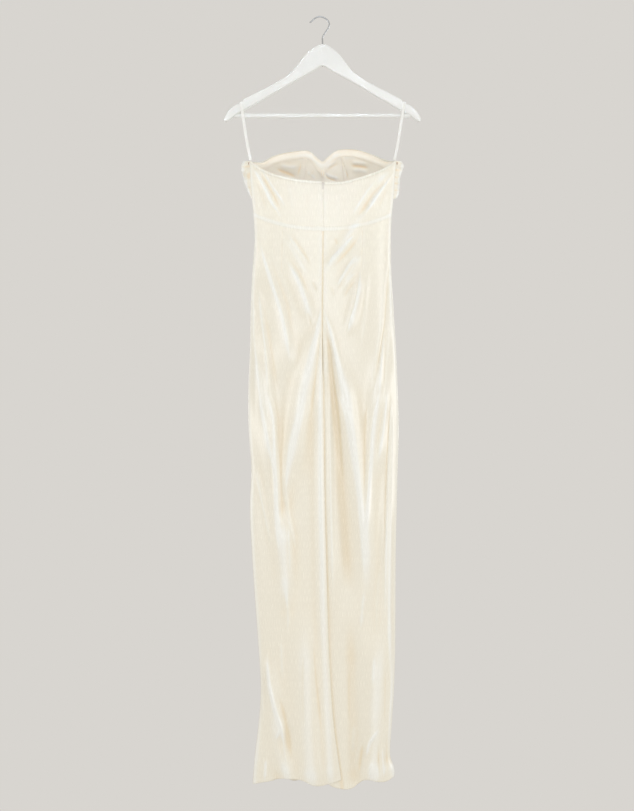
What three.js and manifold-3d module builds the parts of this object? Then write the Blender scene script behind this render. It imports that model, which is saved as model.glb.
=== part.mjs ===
// Halter maxi dress on a hanger, hung by the hanger's hook.
// Millimetres, +Z up. The dress's back faces -Y, its front +Y, and x = 0 is the hanger's stem.
// The origin is the inside of the hook's arch, straight above the stem, where the hanger hangs.
import * as THREE from 'three';
import { mergeVertices } from 'three/addons/utils/BufferGeometryUtils.js';
import Module from 'manifold-3d';

const wasm = await Module();
wasm.setup();

// Driving sizes
const CLOTH = 1.2;             // satin wall
const BODICE_CLOTH = 1.4;      // satin on its interlining
const BAND_CLOTH = 2.0;        // turned waistband
const SEAM_GAP = 0.3;          // between two pieces that are sewn together
const SIDE_SEAM_HALF = 0.2;    // each panel stays this far from the side seam's plane
const LENS_POWER = 2.4;        // how square the flattened tube is
const WAIST_LOW = -477.4;      // waist seam at the centre
const WAIST_RISE = 34;         // how far it climbs to the side seam
const WAIST_POWER = 2.3;
const WAISTBAND_HEIGHT = 9.5;
const BINDING_HEIGHT = 4.6;
const ZIP_X = 1.1;
const FACING_HEIGHT = 13.5;
const FACING_POINT = 13;
const CUP_BULGE = 26;
const CUP_CENTRE_X = 82;
const CUP_HALF_WIDTH = 62;
const CUP_GATHERS = 8;
const GATHER_DEPTH = 1.7;
const LINING_INSET = 5.5;
const HANGER_THICKNESS = 14;
const HANGER_ROUNDING = 3.2;
const BAR_Z = -217.7;
const BAR_RADIUS = 4.8;
const BAR_HALF_LENGTH = 196;
const WIRE_RADIUS = 1.7;
const FIT_CLEARANCE = 0.3;
const RIBBON_WIDTH = 5.6;
const RIBBON_CLOTH = 1.0;

const satin = new THREE.MeshStandardMaterial({ color: 0xf3ecdc, roughness: 0.34, metalness: 0 });
const lining = new THREE.MeshStandardMaterial({ color: 0xf1e3c8, roughness: 0.42, metalness: 0 });
const ribbonCloth = new THREE.MeshStandardMaterial({ color: 0xf6f6f1, roughness: 0.6, metalness: 0 });
const paintedWood = new THREE.MeshStandardMaterial({ color: 0xf2f2ee, roughness: 0.45, metalness: 0 });
const chrome = new THREE.MeshStandardMaterial({ color: 0xb9bbbd, roughness: 0.12, metalness: 1 });
const zipMetal = new THREE.MeshStandardMaterial({ color: 0x8f8a7d, roughness: 0.35, metalness: 1 });

const dress = new THREE.Group();

// A table becomes a list of rows with named columns.
function table(columns, rows) {
  return rows.map((row) => Object.fromEntries(columns.map((name, i) => [name, row[i]])));
}

// A smooth curve through the rows of a table: value as a function of key.
function curve(rows, key, value) {
  const list = [...rows].sort((a, b) => a[key] - b[key]);
  const n = list.length;
  const slopes = list.map((row, i) => {
    const a = list[Math.max(i - 1, 0)];
    const b = list[Math.min(i + 1, n - 1)];
    return (b[value] - a[value]) / (b[key] - a[key]);
  });
  return (k) => {
    const at = Math.min(Math.max(k, list[0][key]), list[n - 1][key]);
    let i = 0;
    while (i < n - 2 && at > list[i + 1][key]) i += 1;
    const span = list[i + 1][key] - list[i][key];
    const t = (at - list[i][key]) / span;
    const t2 = t * t;
    const t3 = t2 * t;
    return (2 * t3 - 3 * t2 + 1) * list[i][value] + (t3 - 2 * t2 + t) * span * slopes[i]
      + (3 * t2 - 2 * t3) * list[i + 1][value] + (t3 - t2) * span * slopes[i + 1];
  };
}

function mix(a, b, t) {
  return a + (b - a) * t;
}

function smooth(from, to, value) {
  const t = Math.min(Math.max((value - from) / (to - from), 0), 1);
  return t * t * (3 - 2 * t);
}

// Sections of the hanging dress: both side seams, and how far back and front bow out.
const SECTIONS = table(['z', 'left', 'right', 'back', 'front'], [
  [-300, -161.8, 164.2, 15, 34],
  [-316, -161.5, 163.7, 16, 38],
  [-360, -160.0, 160.0, 20, 44],
  [-405, -155.9, 157.1, 22, 42],
  [-443, -152.6, 153.3, 23, 34],
  [-495, -150.4, 151.5, 24, 28],
  [-575, -156.0, 153.0, 27, 30],
  [-655, -159.3, 158.2, 28, 32],
  [-735, -160.9, 162.9, 28, 32],
  [-842, -164.9, 167.5, 28, 30],
  [-922, -163.7, 169.3, 27, 30],
  [-1002, -157.9, 166.9, 26, 29],
  [-1096, -161.1, 164.9, 26, 28],
  [-1190, -156.6, 162.9, 26, 28],
  [-1297, -149.7, 162.2, 26, 28],
  [-1408, -141.5, 161.5, 26, 28],
  [-1497, -137.0, 158.6, 27, 28],
  [-1575, -142.1, 153.7, 28, 29],
  [-1644, -150.4, 150.4, 28, 30],
  [-1673, -152.6, 159.5, 28, 30],
  [-1722, -156.5, 156.5, 28, 30],
]);
const leftAt = curve(SECTIONS, 'z', 'left');
const rightAt = curve(SECTIONS, 'z', 'right');
const backDepthAt = curve(SECTIONS, 'z', 'back');
const frontDepthAt = curve(SECTIONS, 'z', 'front');

// The centre-back seam, which becomes the edge of the overlap below the slit's top.
const CENTRE_BACK = table(['z', 'x'], [
  [-300, 1.1], [-475, 1.1], [-695, -0.6], [-840, 0.7], [-1074, 4.5], [-1208, 7.8],
  [-1341, 11.5], [-1453, 16], [-1573, 25], [-1691, 41.2], [-1722, 45],
]);
const centreBackAt = curve(CENTRE_BACK, 'z', 'x');
const SLIT_TOP = -760;
const SLIT_LAP = 32;           // how far the right back lies under the left at the hem
const LAP_STEP = 3.4;          // how far it sinks below it

// Folds: each runs through three places, stands out by height and is about two widths across.
const FOLD_COLUMNS = ['xTop', 'zTop', 'xMid', 'zMid', 'xLow', 'zLow', 'height', 'width'];
const BACK_FOLDS = table(FOLD_COLUMNS, [
  [-157, -322, -133, -368, -99, -438, 3.0, 11],
  [149, -326, 121, -388, 95, -440, 3.6, 12],
  [97, -428, 42, -512, 5, -580, 3.6, 13],
  [-87, -480, -59, -530, -32, -585, 2.6, 12],
  [-84, -530, -43, -622, -20, -700, 3.6, 14],
  [86, -520, 61, -564, 36, -605, 3.2, 13],
  [88, -565, 74, -628, 52, -718, 4.2, 14],
  [-146, -480, -104, -630, -62, -820, 5.2, 18],
  [-150, -690, -135, -873, -105, -1050, 6.0, 18],
  [-138, -720, -109, -1007, -93, -1260, 7.5, 19],
  [-3, -655, -46, -853, -82, -1090, 9.5, 24],
  [-86, -1080, -84, -1180, -82, -1330, 7.0, 18],
  [-124, -1400, -106, -1546, -76, -1730, 9.0, 19],
  [-5, -740, -4, -1040, 18, -1730, 4.2, 13],
  [12, -730, 33, -945, 58, -1330, -7.0, 20],
  [26, -720, 60, -890, 91, -1240, 6.5, 18],
  [134, -700, 108, -967, 97, -1330, 7.0, 18],
  [146, -760, 132, -922, 118, -1040, 4.5, 14],
  [144, -1050, 142, -1250, 139, -1500, 5.0, 16],
  [126, -1330, 118, -1560, 112, -1740, 9.0, 20],
  [62, -1280, 64, -1500, 72, -1740, -8.0, 24],
  [-42, -1300, -34, -1520, -20, -1740, 8.0, 26],
  [-88, -1560, -92, -1640, -96, -1740, -6.0, 18],
]);
const FRONT_FOLDS = table(FOLD_COLUMNS, [
  [-120, -500, -88, -640, -60, -840, 4.5, 20],
  [118, -500, 92, -660, 58, -860, 5.0, 20],
  [-20, -560, -28, -800, -40, -1150, 6.5, 24],
  [34, -620, 44, -900, 70, -1250, 7.5, 24],
  [-136, -720, -112, -980, -96, -1300, 7.5, 22],
  [138, -700, 116, -960, 104, -1280, 7.0, 22],
  [2, -900, 4, -1250, -6, -1740, 9.0, 26],
  [-70, -1150, -66, -1400, -62, -1740, 9.5, 24],
  [78, -1200, 72, -1450, 66, -1740, 9.0, 24],
  [-118, -1280, -112, -1500, -116, -1740, 7.5, 20],
  [124, -1260, 118, -1500, 116, -1740, 8.0, 20],
  [34, -1350, 34, -1550, 32, -1740, -7.0, 20],
]);
const FOLD_RUN_OUT = 70;       // a fold comes up and dies away over this length

// Place of a fold at a height: the parabola through its three places.
function foldX(fold, z) {
  const { xTop, zTop, xMid, zMid, xLow, zLow } = fold;
  return xTop * ((z - zMid) * (z - zLow)) / ((zTop - zMid) * (zTop - zLow))
    + xMid * ((z - zTop) * (z - zLow)) / ((zMid - zTop) * (zMid - zLow))
    + xLow * ((z - zTop) * (z - zMid)) / ((zLow - zTop) * (zLow - zMid));
}

function foldHeight(folds, x, z) {
  return folds.reduce((sum, fold) => {
    const runOut = Math.min(FOLD_RUN_OUT, (fold.zTop - fold.zLow) / 3);
    const along = smooth(fold.zTop, fold.zTop - runOut, z) * smooth(fold.zLow, fold.zLow + runOut, z);
    if (along === 0) return sum;
    const across = (x - foldX(fold, z)) / fold.width;
    return sum + fold.height * along * Math.exp(-across * across);
  }, 0);
}

// The lens: how far the wall bows at a fraction s of the half width, 1 at the side seam.
function lens(s) {
  return Math.sqrt(Math.max(1 - Math.abs(s) ** LENS_POWER, 0));
}

// x of a fraction s between the side seams.
function across(s, z) {
  return mix(leftAt(z), rightAt(z), (s + 1) / 2);
}

function fractionAt(x, z) {
  return Math.min(Math.max((2 * (x - leftAt(z))) / (rightAt(z) - leftAt(z)) - 1, -1), 1);
}

const FOLD_SIDE_FADE = 0.1;    // folds die away over this fraction before a side seam

function sideFade(s) {
  return smooth(0, FOLD_SIDE_FADE, 1 - Math.abs(s));
}

function backPoint(s, z) {
  const x = across(s, z);
  const out = backDepthAt(z) * lens(s) + foldHeight(BACK_FOLDS, x, z) * sideFade(s);
  return new THREE.Vector3(x, -SIDE_SEAM_HALF - out, z);
}

function frontPoint(s, z) {
  const x = across(s, z);
  const out = frontDepthAt(z) * lens(s) + foldHeight(FRONT_FOLDS, x, z) * sideFade(s);
  return new THREE.Vector3(x, SIDE_SEAM_HALF + out, z);
}

// Columns crowd towards the side seams, where the tube turns.
const COLUMN_EVENNESS = 0.42;

function column(t) {
  return mix(-Math.cos(Math.PI * t), 2 * t - 1, COLUMN_EVENNESS);
}

function columnOf(s) {
  let low = 0;
  let high = 1;
  for (let i = 0; i < 40; i += 1) {
    const middle = (low + high) / 2;
    if (column(middle) < s) low = middle;
    else high = middle;
  }
  return (low + high) / 2;
}

// A closed wall of even thickness on the surface mid(u, v). Its outer side is the one that
// the turn from growing u to growing v faces. lift(u, v) moves the wall outwards.
const DIFFERENCE = 1e-3;

function wall(name, material, mid, columns, rows, thickness, lift = () => 0) {
  const points = [];
  const push = (p) => points.push(p.x, p.y, p.z);
  const normal = (u, v) => {
    const du = mid(Math.min(u + DIFFERENCE, 1), v).sub(mid(Math.max(u - DIFFERENCE, 0), v));
    const dv = mid(u, Math.min(v + DIFFERENCE, 1)).sub(mid(u, Math.max(v - DIFFERENCE, 0)));
    return du.cross(dv).normalize();
  };
  for (const side of [thickness / 2, -thickness / 2]) {
    for (let j = 0; j <= rows; j += 1) {
      for (let i = 0; i <= columns; i += 1) {
        const u = i / columns;
        const v = j / rows;
        push(mid(u, v).addScaledVector(normal(u, v), side + lift(u, v)));
      }
    }
  }
  const stride = columns + 1;
  const inner = stride * (rows + 1);
  const at = (i, j) => j * stride + i;
  const faces = [];
  const quad = (a, b, c, d) => faces.push(a, b, c, a, c, d);
  for (let j = 0; j < rows; j += 1) {
    for (let i = 0; i < columns; i += 1) {
      quad(at(i, j), at(i + 1, j), at(i + 1, j + 1), at(i, j + 1));
      quad(inner + at(i, j), inner + at(i, j + 1), inner + at(i + 1, j + 1), inner + at(i + 1, j));
    }
  }
  for (let i = 0; i < columns; i += 1) {
    quad(inner + at(i, 0), inner + at(i + 1, 0), at(i + 1, 0), at(i, 0));
    quad(at(i, rows), at(i + 1, rows), inner + at(i + 1, rows), inner + at(i, rows));
  }
  for (let j = 0; j < rows; j += 1) {
    quad(at(0, j), at(0, j + 1), inner + at(0, j + 1), inner + at(0, j));
    quad(inner + at(columns, j), inner + at(columns, j + 1), at(columns, j + 1), at(columns, j));
  }
  const geometry = new THREE.BufferGeometry();
  geometry.setAttribute('position', new THREE.Float32BufferAttribute(points, 3));
  geometry.setIndex(faces);
  return addMesh(name, geometry, material);
}

function addMesh(name, geometry, material) {
  const mesh = new THREE.Mesh(geometry, material);
  mesh.name = name;
  dress.add(mesh);
  return mesh;
}

// Booleans
function solid(geometry) {
  const bare = geometry.clone();
  bare.deleteAttribute('normal');
  bare.deleteAttribute('uv');
  const merged = mergeVertices(bare, 1e-4);
  return new wasm.Manifold(new wasm.Mesh({
    numProp: 3,
    vertProperties: new Float32Array(merged.attributes.position.array),
    triVerts: new Uint32Array(merged.index.array),
  }));
}

function fromSolid(result) {
  const mesh = result.getMesh();
  const geometry = new THREE.BufferGeometry();
  geometry.setAttribute('position', new THREE.BufferAttribute(mesh.vertProperties, 3));
  geometry.setIndex(new THREE.BufferAttribute(mesh.triVerts, 1));
  return geometry;
}

// The waist seam: the lower edge of the waistband, lowest in the middle.
function waistZ(s) {
  return WAIST_LOW + WAIST_RISE * Math.abs(s) ** WAIST_POWER;
}

function sAtWaist(x) {
  return fractionAt(x, WAIST_LOW + WAIST_RISE / 2);
}

// Back skirts
const HEM_LEFT = table(['x', 'z'], [
  [-160, -1706.5], [-135, -1699], [-117, -1695], [-101, -1690], [-88, -1688],
  [-72, -1688.6], [-50, -1689.6], [-38, -1693.5], [-23, -1701], [-6, -1702.8], [14, -1698.3],
  [28, -1694.4], [50, -1688.2],
]);
const HEM_RIGHT = table(['x', 'z'], [
  [0, -1692.7], [10, -1696.6], [21, -1704.6], [39, -1710.2], [55, -1712.1], [68, -1708.6],
  [79, -1699.9], [90, -1692.5], [104, -1690.7], [119, -1694.7], [137, -1697.1], [148, -1694.2],
  [158, -1689],
]);
const hemLeftAt = curve(HEM_LEFT, 'x', 'z');
const hemRightAt = curve(HEM_RIGHT, 'x', 'z');
const BACK_COLUMNS = 16;       // the same on every piece of the back, so that seams meet
const FRONT_COLUMNS = 26;
const LAP_REACH = 42;          // how far from the slit's edge the lap's step is spread

function lapStep(x, z) {
  const away = (x - centreBackAt(z)) / LAP_REACH;
  return smooth(SLIT_TOP + 90, SLIT_TOP + 10, z) * Math.exp(-away * away);
}

// Rows of a panel crowd towards neither end: v = 0 is the hem and v = 1 the waist seam.
function backSkirtPoint(u, v, isLeft) {
  const hemAt = isLeft ? hemLeftAt : hemRightAt;
  let z = mix(-1700, waistZ(0) - SEAM_GAP, v);
  let point;
  for (let pass = 0; pass < 3; pass += 1) {
    const centreX = centreBackAt(z);
    const under = SLIT_LAP * smooth(SLIT_TOP, -1690, z) ** 0.7;
    const edge = isLeft ? centreX - SEAM_GAP / 2 : centreX + SEAM_GAP / 2 - under;
    const edgeS = fractionAt(edge, z);
    const s = isLeft ? column(u * columnOf(edgeS)) : column(mix(columnOf(edgeS), 1, u));
    point = backPoint(s, z);
    z = mix(hemAt(point.x), waistZ(s) - SEAM_GAP, v);
  }
  point = backPoint(fractionAt(point.x, z), z);
  point.y += (isLeft ? -0.35 : 0.65) * LAP_STEP * lapStep(point.x, z);
  return point;
}

wall('back_skirt_left', satin, (u, v) => backSkirtPoint(u, v, true), BACK_COLUMNS, 28, CLOTH);
wall('back_skirt_right', satin, (u, v) => backSkirtPoint(u, v, false), BACK_COLUMNS, 28, CLOTH);

// Front skirt: one width from side seam to side seam, u running from right to left
const HEM_FRONT = table(['x', 'z'], [
  [-160, -1702.5], [-116, -1706], [-90, -1699], [-62, -1707], [-30, -1699], [0, -1707],
  [34, -1697], [66, -1706], [92, -1697], [116, -1703], [158, -1689],
]);
const hemFrontAt = curve(HEM_FRONT, 'x', 'z');

wall('front_skirt', satin, (u, v) => {
  const s = -column(u);
  const z = mix(hemFrontAt(across(s, -1700)), waistZ(s) - SEAM_GAP, v);
  return frontPoint(s, z);
}, FRONT_COLUMNS, 20, CLOTH);

// Waistband: a narrow turned strip over the waist seam, two pieces behind and one in front
function waistbandPoint(surface, s, v) {
  const z = mix(waistZ(s), waistZ(s) + WAISTBAND_HEIGHT, v);
  return surface(s, z);
}

const ZIP_S = sAtWaist(ZIP_X);
const HALF_GAP_S = sAtWaist(ZIP_X + SEAM_GAP / 2) - ZIP_S;
wall('waistband_back_left', satin,
  (u, v) => waistbandPoint(backPoint, column(u * columnOf(ZIP_S - HALF_GAP_S)), v), BACK_COLUMNS, 1, BAND_CLOTH);
wall('waistband_back_right', satin,
  (u, v) => waistbandPoint(backPoint, column(mix(columnOf(ZIP_S + HALF_GAP_S), 1, u)), v), BACK_COLUMNS, 1, BAND_CLOTH);
wall('waistband_front', satin,
  (u, v) => waistbandPoint(frontPoint, -column(u), v), FRONT_COLUMNS, 1, BAND_CLOTH);

// Back bodice: two pieces from the waistband to the dipping top edge, parted by the zip
const TOP_EDGE = table(['x', 'z'], [
  [-162, -317], [-144, -333.1], [-117, -347.4], [-83.5, -357.3], [-57, -363], [-28, -366.3],
  [1, -368.5], [28, -369.4], [50, -367.5], [83.5, -358.3], [110, -349.5], [139, -335.8], [164, -317],
]);
const topEdgeAt = curve(TOP_EDGE, 'x', 'z');

function backBodicePoint(s, v) {
  const zLow = waistZ(s) + WAISTBAND_HEIGHT + SEAM_GAP;
  let z = zLow;
  for (let pass = 0; pass < 3; pass += 1) {
    z = mix(zLow, topEdgeAt(across(s, z)), v);
  }
  return backPoint(s, z);
}

function leftOfZip(u, gap) {
  return column(u * columnOf(sAtWaist(ZIP_X - gap)));
}

function rightOfZip(u, gap) {
  return column(mix(columnOf(sAtWaist(ZIP_X + gap)), 1, u));
}

wall('back_bodice_left', satin,
  (u, v) => backBodicePoint(leftOfZip(u, SEAM_GAP / 2), v), BACK_COLUMNS, 7, BODICE_CLOTH);
wall('back_bodice_right', satin,
  (u, v) => backBodicePoint(rightOfZip(u, SEAM_GAP / 2), v), BACK_COLUMNS, 7, BODICE_CLOTH);

// Binding: a narrow folded strip that lies on the outside of the back's top edge
const BINDING_LIFT = BODICE_CLOTH / 2 + SEAM_GAP + CLOTH / 2;
const BINDING_ZIP_CLEAR = 3.4;
const BINDING_SIDE_CLEAR = 0.985;

function bindingPoint(s, v) {
  const top = backBodicePoint(s, 1);
  return backPoint(s, top.z - BINDING_HEIGHT * (1 - v));
}

wall('back_binding_left', satin,
  (u, v) => bindingPoint(Math.max(leftOfZip(u, BINDING_ZIP_CLEAR), -BINDING_SIDE_CLEAR - 0.0001 * (1 - u)), v),
  BACK_COLUMNS, 1, CLOTH, () => BINDING_LIFT);
wall('back_binding_right', satin,
  (u, v) => bindingPoint(Math.min(rightOfZip(u, BINDING_ZIP_CLEAR), BINDING_SIDE_CLEAR + 0.0001 * u), v),
  BACK_COLUMNS, 1, CLOTH, () => BINDING_LIFT);

// Front: a midriff under the bust, then two gathered cups up to the sweetheart neckline
const UNDERBUST_Z = -405;
const UNDERBUST_DIP = 14;
const MIDRIFF_ROWS = 3;

function underbustZ(s) {
  return UNDERBUST_Z - UNDERBUST_DIP * Math.sin(Math.PI * s) ** 2;
}

wall('front_midriff', satin, (u, v) => {
  const s = -column(u);
  const z = mix(waistZ(s) + WAISTBAND_HEIGHT + SEAM_GAP, underbustZ(s) - SEAM_GAP, v);
  return frontPoint(s, z);
}, FRONT_COLUMNS, MIDRIFF_ROWS, BODICE_CLOTH);

const NECKLINE = table(['x', 'z'], [
  [-181, -318], [-163, -318], [-134.8, -315.5], [-112.5, -301.7], [-88, -293.2], [-61.3, -288.7],
  [-36.8, -287.6], [-25.6, -291.7], [-14.5, -301], [-5.6, -309.1], [1.1, -312.5], [10, -304.1],
  [23.4, -292.8], [34.5, -286.8], [50, -284.2], [72.4, -284.6], [90.2, -288.7], [110.3, -296.9],
  [128, -306.1], [146, -315.1], [164, -317.5], [181, -318],
]);
const necklineAt = curve(NECKLINE, 'x', 'z');
const NECKLINE_LEVEL = -305;

// The gathered cups swell past the side seams by this much.
const LOBES = table(['z', 'left', 'right'], [
  [-407, 3, 9], [-397, 8.5, 15.5], [-385, 13.2, 18.5], [-374, 16.8, 18.6], [-363, 20.3, 18.6],
  [-352, 23.3, 19], [-338, 26, 22.5], [-325, 26, 24.5], [-317, 20, 19],
]);
const lobeLeftAt = curve(LOBES, 'z', 'left');
const lobeRightAt = curve(LOBES, 'z', 'right');
const LOBE_PEAK = 0.045;       // the swelling is fullest at this fraction from the side seam
const CUP_SIDE_CLEAR = 1.1;
const CUP_FULL = 0.75;         // share of a half wave that the cup's profile runs through

function cupPoint(s, v, gathered) {
  const inward = 1 - Math.abs(s);
  const sign = Math.sign(s);
  const z = mix(underbustZ(s), necklineAt(across(s, NECKLINE_LEVEL)), v);
  const x = across(s, z);
  const aside = (Math.abs(x) - CUP_CENTRE_X) / CUP_HALF_WIDTH;
  const bulge = CUP_BULGE * Math.exp(-aside * aside) * Math.sin(CUP_FULL * Math.PI * v ** 0.85);
  const point = new THREE.Vector3(x, SIDE_SEAM_HALF + frontDepthAt(z) * lens(s) + bulge, z);
  if (!gathered) return point;
  const clearOfSeam = smooth(0, 0.08, v);
  const lobeAt = sign < 0 ? lobeLeftAt : lobeRightAt;
  const lobe = lobeAt(z) * (inward / LOBE_PEAK) * Math.exp(1 - inward / LOBE_PEAK) * clearOfSeam;
  point.x += sign * lobe;
  point.y += CUP_SIDE_CLEAR * (1 - smooth(0, 0.1, inward)) * clearOfSeam;
  const pulled = 0.3 + 0.7 * Math.exp(-inward / 0.2) + 0.6 * Math.exp(-Math.abs(x) / 25);
  const settled = smooth(0, 0.04, inward) * smooth(0.06, 0.16, v) * (1 - smooth(0.86, 0.97, v));
  const wave = Math.cos(2 * Math.PI * (CUP_GATHERS * v + 0.12 * Math.sin(9 * s)));
  const turn = (Math.PI / 2) * smooth(0, 0.35, inward);
  point.x += sign * Math.cos(turn) * GATHER_DEPTH * pulled * settled * wave;
  point.y += Math.sin(turn) * GATHER_DEPTH * pulled * settled * wave;
  return point;
}

const CENTRE_FRONT_GAP = 0.001;
const CUP_COLUMNS = 12;
const CUP_ROWS = 24;

// u runs from the right side seam to the middle, or from the middle to the left side seam.
function cupColumn(u, isLeft) {
  const middle = columnOf(-CENTRE_FRONT_GAP);
  return isLeft ? column(mix(middle, 0, u)) : -column(mix(0, middle, u));
}

const seamLift = (s) => SEAM_GAP / (necklineAt(across(s, NECKLINE_LEVEL)) - underbustZ(s));
for (const [name, isLeft] of [['front_cup_left', true], ['front_cup_right', false]]) {
  wall(name, satin, (u, v) => {
    const s = cupColumn(u, isLeft);
    return cupPoint(s, mix(seamLift(s), 1, v), true);
  }, CUP_COLUMNS, CUP_ROWS, CLOTH);
}

// Inside of the cups: two lining panels a side, a facing round the neckline and a boning
// channel over the seam between the panels. The lining meets the cup at its edges.
const LINING_SIDE = 0.955;
const LINING_LOW = 0.02;
const LINING_TOP = 0.985;
const EDGE_INSET = CLOTH + SEAM_GAP;
const PANEL_SEAM = table(['name', 'low', 'top'], [['left', -0.29, -0.225], ['right', 0.37, 0.24]]);
const PANEL_HALF_GAP = 0.001;
const LINING_COLUMNS = 6;
const LINING_ROWS = 7;
const FACING_ROW = (LINING_ROWS - 1) / LINING_ROWS;
const INSIDE_GAP = 0.6;        // the facing and the channels lie this far off the lining's curve
const CHANNEL_HALF_WIDTH = 0.021;
const CHANNEL_CLOTH = 1.6;

// The facing is deepest at the centre front, where it comes to a point above the tack.
function facingLow(s) {
  const x = across(s, NECKLINE_LEVEL);
  const height = FACING_HEIGHT + FACING_POINT * (1 - smooth(6, 30, Math.abs(x)));
  return LINING_TOP - height / (necklineAt(x) - underbustZ(s));
}

// The lining's last row is as high as the facing that lies on it.
function liningV(s, v) {
  return v < FACING_ROW
    ? mix(LINING_LOW, facingLow(s), v / FACING_ROW)
    : mix(facingLow(s), LINING_TOP, (v - FACING_ROW) / (1 - FACING_ROW));
}

function inset(cupV) {
  return mix(EDGE_INSET, LINING_INSET, smooth(0, 0.12, cupV) * (1 - smooth(0.9, 1, cupV)));
}

for (const { name, low, top } of PANEL_SEAM) {
  const isLeft = name === 'left';
  const seamS = (v) => mix(low, top, v);
  // A piece of the inside: its columns s(u, v), its span of lining rows, and how far it is moved in.
  const inside = (node, columnAt, fromV, toV, columns, rows, thickness, extra) => {
    const rowAt = (v) => mix(fromV, toV, v);
    const cupV = (u, v) => liningV(columnAt(u, rowAt(v)), rowAt(v));
    wall(`${node}_${name}`, lining,
      (u, v) => cupPoint(columnAt(u, rowAt(v)), cupV(u, v), false),
      columns, rows, thickness, (u, v) => -inset(cupV(u, v)) - extra);
  };
  const sideColumn = (u, v) => (isLeft
    ? mix(seamS(v) - PANEL_HALF_GAP, -LINING_SIDE, u)
    : mix(LINING_SIDE, seamS(v) + PANEL_HALF_GAP, u));
  const middleColumn = (u, v) => (isLeft
    ? mix(-CENTRE_FRONT_GAP, seamS(v) + PANEL_HALF_GAP, u)
    : mix(seamS(v) - PANEL_HALF_GAP, CENTRE_FRONT_GAP, u));
  // The facing's columns are those of the two panels that it lies on.
  const facingColumn = (u, v) => {
    const ends = isLeft ? [-CENTRE_FRONT_GAP, seamS(v), -LINING_SIDE] : [LINING_SIDE, seamS(v), CENTRE_FRONT_GAP];
    return u < 0.5 ? mix(ends[0], ends[1], 2 * u) : mix(ends[1], ends[2], 2 * u - 1);
  };
  const channelColumn = (u, v) => mix(seamS(v) + CHANNEL_HALF_WIDTH, seamS(v) - CHANNEL_HALF_WIDTH, u);
  const onLining = CLOTH + INSIDE_GAP;
  inside('cup_lining_side', sideColumn, 0, 1, LINING_COLUMNS, LINING_ROWS, CLOTH, 0);
  inside('cup_lining_middle', middleColumn, 0, 1, LINING_COLUMNS, LINING_ROWS, CLOTH, 0);
  inside('neck_facing', facingColumn, FACING_ROW, 1, 2 * LINING_COLUMNS, 1, CLOTH, onLining);
  inside('boning_channel', channelColumn, 0.02, FACING_ROW - 0.005, 1, LINING_ROWS - 1, CHANNEL_CLOTH,
    onLining + (CHANNEL_CLOTH - CLOTH) / 2);
}

// Centre-front tack: the small gathered knot where both cups are caught together inside
const TACK = { v: 0.7, halfWidth: 5.5, halfDepth: 2.4, halfHeight: 8.5 };
const tackWall = cupPoint(CENTRE_FRONT_GAP, TACK.v, false);
const tackGeometry = new THREE.SphereGeometry(1, 12, 8);
tackGeometry.scale(TACK.halfWidth, TACK.halfDepth, TACK.halfHeight);
const tackIn = LINING_INSET + CLOTH + INSIDE_GAP + CLOTH / 2 + SEAM_GAP + TACK.halfDepth;
tackGeometry.translate(tackWall.x, tackWall.y - tackIn, tackWall.z);
addMesh('centre_front_tack', tackGeometry, lining);

// Zip: a concealed zip in the centre back, of which the slider and its pull tab show
const SLIDER = { z: -371.6, width: 4.4, height: 6, plate: 1.2, leg: 0.8, legAt: 2.2, bail: 1.2, rise: 1.6 };
const PULL = { width: 3.6, frame: 0.8, thickness: 0.8, window: 3.2, length: 14, axisOut: 2.0 };
const zipWall = backPoint(sAtWaist(ZIP_X), SLIDER.z);
const sliderBack = zipWall.y - BODICE_CLOTH / 2 - SEAM_GAP;

function block(width, depth, height, x, y, z) {
  const geometry = new THREE.BoxGeometry(width, depth, height);
  geometry.translate(x, y, z);
  return solid(geometry);
}

const bailDepth = SLIDER.rise + SLIDER.leg;
let slider = block(SLIDER.width, SLIDER.plate, SLIDER.height, ZIP_X, sliderBack - SLIDER.plate / 2, SLIDER.z);
for (const end of [1, -1]) {
  slider = slider.add(block(SLIDER.bail, bailDepth, SLIDER.leg, ZIP_X,
    sliderBack - SLIDER.plate - bailDepth / 2 + 0.01, SLIDER.z + end * SLIDER.legAt));
}
slider = slider.add(block(SLIDER.bail, SLIDER.leg, 2 * SLIDER.legAt + SLIDER.leg, ZIP_X,
  sliderBack - SLIDER.plate - SLIDER.rise - SLIDER.leg / 2, SLIDER.z));
addMesh('zip_slider', fromSolid(slider), zipMetal);

const pullY = sliderBack - PULL.axisOut;
const pullShape = new THREE.Shape();
const pullHalf = PULL.width / 2;
pullShape.moveTo(-pullHalf, PULL.frame / 2);
pullShape.lineTo(-pullHalf, -PULL.length + pullHalf);
pullShape.absarc(0, -PULL.length + pullHalf, pullHalf, Math.PI, 2 * Math.PI, false);
pullShape.lineTo(pullHalf, PULL.frame / 2);
const pullWindow = new THREE.Path();
const windowHalf = pullHalf - PULL.frame;
pullWindow.moveTo(-windowHalf, -PULL.frame / 2);
pullWindow.lineTo(windowHalf, -PULL.frame / 2);
pullWindow.lineTo(windowHalf, -PULL.window);
pullWindow.lineTo(-windowHalf, -PULL.window);
pullShape.holes.push(pullWindow);
const pullGeometry = new THREE.ExtrudeGeometry(pullShape, {
  depth: PULL.thickness, bevelEnabled: false, curveSegments: 6,
});
pullGeometry.translate(0, 0, -PULL.thickness / 2);
pullGeometry.rotateX(Math.PI / 2);
const pullTab = addMesh('zip_pull', pullGeometry, zipMetal);
pullTab.position.set(ZIP_X, pullY, SLIDER.z);

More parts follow.
